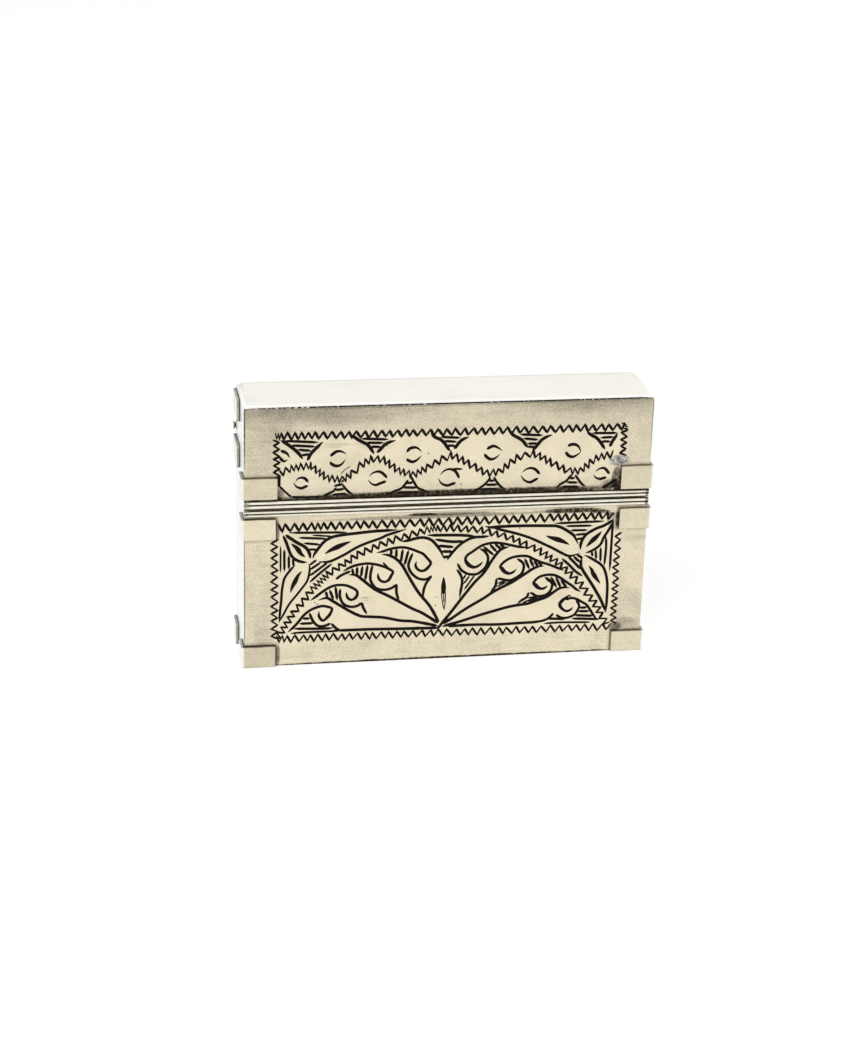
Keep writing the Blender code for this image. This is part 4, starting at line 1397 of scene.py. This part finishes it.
def reed_tree():
    """Nodes that draw a strip of half-round reeds along X, each with its hollow depth kept as a value."""
    sockets = {"Nothing": "Geometry", "Reeds": "Int", "Sides": "Int", "Steps": "Int"}
    sockets.update(dict.fromkeys(("Length", "Height", "Backing", "Proud", "Waver", "Lump"), "Float"))
    board = ShapeBoard("reeds", {**sockets, "Seat": "Vector", "Metal": "Material"})
    given = board.given
    front = given["Reeds"] * given["Sides"]
    profile = board.add("GeometryNodeCurvePrimitiveCircle", {"mode": "RADIUS"}, {"Resolution": front + 3})
    index = board.add("GeometryNodeInputIndex")
    descent = (index / front).smallest(1.0)
    crown = abs(index.sum("SINE", descent * given["Reeds"] * math.pi))
    on_front = index.sum("LESS_THAN", index, front + 0.5)
    back_at_top = index.sum("GREATER_THAN", index, front + 1.5)
    out = on_front * (given["Backing"] + crown * given["Proud"])
    up = given["Height"] * (descent - 1.0 - back_at_top)
    corner = board.add("ShaderNodeCombineXYZ", values=(out, up, 0.0))
    shaped = board.add("GeometryNodeSetPosition", values={"Geometry": profile, "Position": corner})
    hollow = {"Geometry": shaped, "Name": "hollow", "Value": 1.0 - crown * on_front}
    store = {"data_type": "FLOAT", "domain": "POINT"}
    marked = board.add("GeometryNodeStoreNamedAttribute", store, hollow)
    reach = board.add("ShaderNodeCombineXYZ", values=(given["Length"], 0.0, 0.0))
    line = board.add("GeometryNodeCurvePrimitiveLine", values={"End": reach})
    even = board.add("GeometryNodeResampleCurve", values={"Curve": line, "Count": given["Steps"]})
    swept = {"Curve": even, "Profile Curve": marked, "Fill Caps": True}
    strip = board.add("GeometryNodeCurveToMesh", values=swept)
    here = board.add("GeometryNodeInputPosition")
    lumps = {"Vector": here, "Scale": given["Lump"], "Detail": 2.0}
    wander = board.add("ShaderNodeTexNoise", values=lumps, output=1)
    nudge = board.scaled(board.vector("SUBTRACT", wander, (0.5, 0.5, 0.5)), given["Waver"])
    settled = board.vector("ADD", nudge, given["Seat"])
    return board.finish(board.add("GeometryNodeSetPosition", values={"Geometry": strip, "Offset": settled}))

def make_reeds(tree, node, body, metal):
    """The reeded strip beside the parting, drawn slightly unevenly by hand. The body's narrows to the
    left and the lid's to the right."""
    low, high = (Vector(corner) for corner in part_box(node))
    if body == "case_body":
        low.z += REED_TRIM
    proud = FRONT_Y - low.y - REED_BACKING - 2 * REED_WAVER
    inputs = {
        "Reeds": REEDS_EACH, "Sides": REED_SIDES, "Steps": round((high.x - low.x) / REED_STEP),
        "Length": high.x - low.x - 2 * REED_WAVER, "Height": high.z - low.z - 2 * REED_WAVER,
        "Backing": REED_BACKING, "Proud": proud, "Waver": 2 * REED_WAVER, "Lump": REED_LUMP,
        "Seat": (low.x + REED_WAVER, FRONT_Y - FIT, low.z + REED_WAVER), "Metal": metal,
    }
    mesh = run_tree(tree, bpy.data.meshes.new("nothing"), inputs)
    mesh.name = node + "_reeds"
    for vert in mesh.vertices:
        share = (vert.co.x - LEFT_X) / (RIGHT_X - LEFT_X)
        if body == "case_body":
            vert.co.z = high.z - (high.z - vert.co.z) * (1.0 - REED_WEDGE * (1.0 - share))
        else:
            vert.co.z = low.z + (vert.co.z - low.z) * (1.0 - REED_WEDGE * share)
    piece = linked(node + "_reeds", mesh)
    mesh.shade_smooth()
    mesh.set_sharp_from_angle(angle=SHARP_ANGLE)
    return settle(piece, body, node, (metal,))


def strap_line(node):
    """The bent middle line of a strap seen from above, from its leg on the face to its leg on the end,
    and which way it lies. The strap's inner side touches the sheets."""
    low, high = (Vector(corner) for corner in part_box(node))
    side = -1 if low.x < LEFT_X else 1
    face = -1 if low.y < FRONT_Y else 1
    corner_x = LEFT_X if side < 0 else RIGHT_X
    corner_y = FRONT_Y if face < 0 else BACK_Y
    face_leg = abs((high.x if side < 0 else low.x) - corner_x)
    end_leg = abs((high.y if face < 0 else low.y) - corner_y)
    thick = abs((low.x if side < 0 else high.x) - corner_x)
    return low, high, side, face, Vector((corner_x, corner_y)), face_leg, end_leg, thick


def slow_chance(*place):
    """A random value from 0 to 1 that changes slowly from place to place."""
    return 0.5 + 0.5 * noise.noise(Vector(place))

def strap_profile(face_leg, end_leg, thick):
    """A strap seen from above, round a corner at 0, 0: its outer line, from the leg on the face to the
    leg on the end, and its inner line, which touches the sheets."""
    count = round((face_leg - FIT) / STRAP_STEP)
    outer = [(-face_leg + (face_leg - STRAP_BEND + thick) * i / count, thick) for i in range(count)]
    centre = thick - STRAP_BEND
    for i in range(CORNER_STEPS + 1):
        angle = math.pi / 2 * (1 - i / CORNER_STEPS)
        outer.append((centre + STRAP_BEND * math.cos(angle), centre + STRAP_BEND * math.sin(angle)))
    count = round((end_leg - FIT) / STRAP_STEP)
    for i in range(1, count + 1):
        outer.append((thick, centre - (end_leg + thick - STRAP_BEND) * i / count))
    inner = []
    for u, v in outer:
        if v == thick and u < FIT:
            inner.append((u, FIT))
        elif u == thick and v < FIT:
            inner.append((FIT, v))
        else:
            inner.append((FIT, FIT))
    return outer, inner

def strap_walls(mesh_data, levels, inner):
    """Faces over a strap's two sides, its cut ends, its bottom and its top."""
    points = len(inner)
    for (out_low, in_low), (out_high, in_high) in zip(levels, levels[1:]):
        for i in range(points - 1):
            mesh_data.faces.new((out_low[i], out_low[i + 1], out_high[i + 1], out_high[i]))
            if inner[i] != inner[i + 1]:
                mesh_data.faces.new((in_low[i + 1], in_low[i], in_high[i], in_high[i + 1]))
        mesh_data.faces.new((in_low[0], out_low[0], out_high[0], in_high[0]))
        mesh_data.faces.new((out_low[-1], in_low[-1], in_high[-1], out_high[-1]))
    for (out, inside), turn in ((levels[0], 1), (levels[-1], -1)):
        for i in range(points - 1):
            ring = (out[i + 1], out[i], inside[i], inside[i + 1])
            if inner[i] == inner[i + 1]:
                ring = ring[:3]
            mesh_data.faces.new(ring[::turn])

def make_strap(node, body, metal, seed):
    """A strip of sheet bent round the corner, with slightly uneven cut edges."""
    low, high, side, face, corner, face_leg, end_leg, thick = strap_line(node)
    low_trim, high_trim, leg_trim, wear, _ = STRAP_CUTS.get(node, HIDDEN_STRAP_CUTS)
    low.z += low_trim * MM
    high.z -= high_trim * MM
    height = high.z - low.z
    outer, inner = strap_profile(face_leg - leg_trim * MM, end_leg, thick)
    lengths = [0.0]
    for here, there in zip(outer, outer[1:]):
        lengths.append(lengths[-1] + (Vector(there) - Vector(here)).length)
    whole = lengths[-1]
    mesh_data = bmesh.new()
    edge_mark = mesh_data.verts.layers.float.new("edge")
    wear_mark = mesh_data.verts.layers.float.new("wear")
    rows = max(STRAP_ROWS, round(height / STRAP_STEP))
    levels = []
    for k in range(rows + 1):
        share = k / rows
        level = []
        for ring in (outer, inner):
            verts = []
            for i, (u, v) in enumerate(ring):
                run = lengths[i]
                drift = slow_chance(run / MM * EDGE_DRIFT, seed * EDGE_SEED, TOP_EDGE_SEED * (share > 0.5))
                z = low.z + height * share
                z += STRAP_WAVER * drift * (1 - 2 * share)
                pull = STRAP_WAVER * slow_chance(z / MM * LEG_DRIFT, seed * LEG_SEED, run / MM)
                if run == 0.0:
                    u += pull
                elif run == whole:
                    v += pull
                if ring is inner and i and inner[i] == inner[i - 1]:
                    verts.append(verts[-1])
                    continue
                vert = mesh_data.verts.new((corner.x + side * u, corner.y + face * v, z))
                vert[edge_mark] = min(run, whole - run, height * min(share, 1 - share)) / MM
                vert[wear_mark] = wear
                verts.append(vert)
            level.append(verts)
        levels.append(level)
    strap_walls(mesh_data, levels, inner)
    bmesh.ops.remove_doubles(mesh_data, verts=mesh_data.verts, dist=FIT / 10)
    bmesh.ops.recalc_face_normals(mesh_data, faces=mesh_data.faces)
    piece = object_from(mesh_data, node + "_strap")
    soften(piece, STRAP_EDGE, STRAP_SHARP_ANGLE)
    return settle(piece, body, node, (metal,))

def make_seam(name, body, outline, metal, open_side=None):
    """Solder that fills the seam between a front sheet's edge and the strip behind it. It leaves out the
    side of the outline that starts at the point numbered open_side."""
    mesh_data = bmesh.new()
    rings = []
    for inset in (SOLDER_HOLLOW, SOLDER_HOLLOW + 4 * SOFT_EDGE):
        for y in (BODY_HIGH.y, STRIP_LOW.y):
            rings.append([mesh_data.verts.new((x, y, z)) for x, z in outline(inset)])
    near_out, far_out, near_in, far_in = rings
    count = len(near_out)
    if open_side is not None:
        for end in (open_side, open_side + 1):
            mesh_data.faces.new((near_out[end], near_in[end], far_in[end], far_out[end]))
    for i in range(count):
        if i == open_side:
            continue
        j = (i + 1) % count
        mesh_data.faces.new((near_out[i], near_out[j], far_out[j], far_out[i]))
        mesh_data.faces.new((near_in[j], near_in[i], far_in[i], far_in[j]))
        mesh_data.faces.new((near_out[j], near_out[i], near_in[i], near_in[j]))
        mesh_data.faces.new((far_out[i], far_out[j], far_in[j], far_in[i]))
    bmesh.ops.recalc_face_normals(mesh_data, faces=mesh_data.faces)
    return settle(object_from(mesh_data, name), body, None, (metal,))


def make_camera():
    forward = Vector((
        math.sin(CAMERA_AZIMUTH) * math.cos(CAMERA_ELEVATION),
        math.cos(CAMERA_AZIMUTH) * math.cos(CAMERA_ELEVATION),
        -math.sin(CAMERA_ELEVATION),
    ))
    level = Vector((math.cos(CAMERA_AZIMUTH), -math.sin(CAMERA_AZIMUTH), 0.0))
    right = level * math.cos(CAMERA_ROLL) + level.cross(forward) * math.sin(CAMERA_ROLL)
    up = right.cross(forward)
    data = bpy.data.cameras.new("camera")
    data.lens = CAMERA_LENS
    data.sensor_width = 36.0
    data.sensor_fit = "AUTO"
    data.clip_start = 0.01
    camera = linked("camera", data)
    turn = Matrix((right, up, -forward)).transposed()
    camera.matrix_world = Matrix.Translation(CAMERA_PLACE) @ turn.to_4x4()
    bpy.context.scene.camera = camera


def make_stage():
    """A wide white floor, a white world and two large soft lamps."""
    mesh_data = bmesh.new()
    bmesh.ops.create_grid(mesh_data, x_segments=4, y_segments=4, size=1.5)
    bmesh.ops.translate(mesh_data, verts=mesh_data.verts, vec=(0.0, 0.0, -FIT))
    floor = object_from(mesh_data, "floor")
    floor.data.materials.append(floor_finish())
    world = bpy.data.worlds.new("studio")
    bpy.context.scene.world = world
    world.use_nodes = True
    world.node_tree.nodes.clear()
    board = Board(world.node_tree)
    seen = board.add("ShaderNodeLightPath", output="Is Camera Ray")
    for kind in ("Is Glossy Ray", "Is Transmission Ray"):
        seen = seen.largest(board.add("ShaderNodeLightPath", output=kind))
    around = board.add("ShaderNodeBackground", values={"Color": tone(1.0, 1.0, 1.0), "Strength": 0.62})
    white = board.add("ShaderNodeBackground", values={"Color": tone(1.0, 1.0, 1.0), "Strength": 1.0})
    surface = board.add("ShaderNodeMixShader", values=(seen, around, white))
    board.add("ShaderNodeOutputWorld", values={"Surface": surface})
    aim = Vector((0.0, 0.0, TOP_Z / 2))
    for name, place, size, power in (
        ("key softbox", Vector((-0.75, -0.85, 0.95)), 0.9, 7.0),
        ("back softbox", Vector((0.9, 0.35, 0.9)), 0.8, 2.0),
    ):
        data = bpy.data.lights.new(name, "AREA")
        data.shape = "SQUARE"
        data.size = size
        data.energy = power
        lamp = linked(name, data)
        lamp.location = place
        lamp.rotation_mode = "QUATERNION"
        lamp.rotation_quaternion = (aim - place).to_track_quat("-Z", "Y")
    bpy.context.scene.view_settings.view_transform = "Standard"


def strap_marks(start):
    """Where the straps lie on a front sheet, in millimetres, with how dark the line round each is."""
    marks = []
    for node in sorted(frame["nodes"]):
        if node.startswith(start) and "strap" in node:
            low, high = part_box(node)
            low_trim, high_trim, leg_trim, _, darkness = STRAP_CUTS[node]
            left = (low.x - LEFT_X) / MM + (leg_trim if low.x > 0.0 else 0.0)
            right = (high.x - LEFT_X) / MM - (leg_trim if low.x < 0.0 else 0.0)
            marks.append(((left, low.z / MM + low_trim), (right, high.z / MM - high_trim), darkness))
    return marks


def make_fronts(cut_metal):
    """Both engraved front sheets."""
    wriggler = Wriggler(cut_metal)
    lid_metal = engraved_silver(
        "engraved lid silver", 0.26, LID_STAINS_AND_SHADE, ((8, 44), (88, 56.5)), strap_marks("lid_front"),
        [((87.3, 48.3), (2.6, 1.5))],
    )
    lid_plate = Plate(sheet_outline(LID_LOW.z, LID_HIGH.z, False))
    engrave_lid(lid_plate, wriggler)
    lid_plate.solid("lid_engraved_front", "lid", "lid_front_panel", lid_metal, cut_metal)
    body_metal = engraved_silver(
        "engraved body silver", 0.16, BODY_STAINS_AND_SHADE, ((8, 6), (88, 35)), strap_marks("body_front")
    )
    body_plate = Plate(sheet_outline(BODY_LOW.z, BODY_HIGH.z, True))
    engrave_body(body_plate, wriggler)
    body_plate.solid("body_engraved_front", "case_body", "body_front_panel", body_metal, cut_metal)


def main():
    make_camera()
    make_stage()
    make_fronts(black_cut("blackened cuts"))
    # The strap's last colour is the painted highlight on its legs on the case ends.
    strap_metal = strap_silver("strap silver", (0.86, 0.775, 0.575), (0.50, 0.44, 0.32), (0.93, 0.915, 0.87))
    reed_metal = reed_silver("reed silver")
    solder = solder_seam("old solder")
    metals = {
        "wrap_strip": wrap_silver("pale wrap silver", (0.91, 0.895, 0.83), (0.80, 0.76, 0.66)),
        "flange": sheet_silver("dull inside silver", (0.60, 0.55, 0.43), (0.36, 0.32, 0.24), 1.0, 0.50),
        "back_panel": sheet_silver("plain back silver", (0.80, 0.735, 0.58), (0.50, 0.45, 0.34), 0.9, 0.36),
        "knuckle": sheet_silver("hinge silver", (0.74, 0.68, 0.54), (0.30, 0.26, 0.20), 1.2, 0.34),
        "hinge_pin": pin_silver("pin silver"),
    }
    reeds = reed_tree()
    seed = 0
    for body, nodes in frame["record"]["behaviour"]["bodies"].items():
        for node in nodes:
            if "strap" in node:
                seed += 1
                make_strap(node, body, strap_metal, seed)
            elif node.endswith("moulding"):
                make_reeds(reeds, node, body, reed_metal)
            for word, metal in metals.items():
                if word in node:
                    softened_copy(node, body, metal)
    make_seam("body_front_solder", "case_body", sheet_outline(BODY_LOW.z, BODY_HIGH.z, True), solder)
    make_seam("lid_front_solder", "lid", sheet_outline(LID_LOW.z, LID_HIGH.z, False), solder, open_side=0)

main()
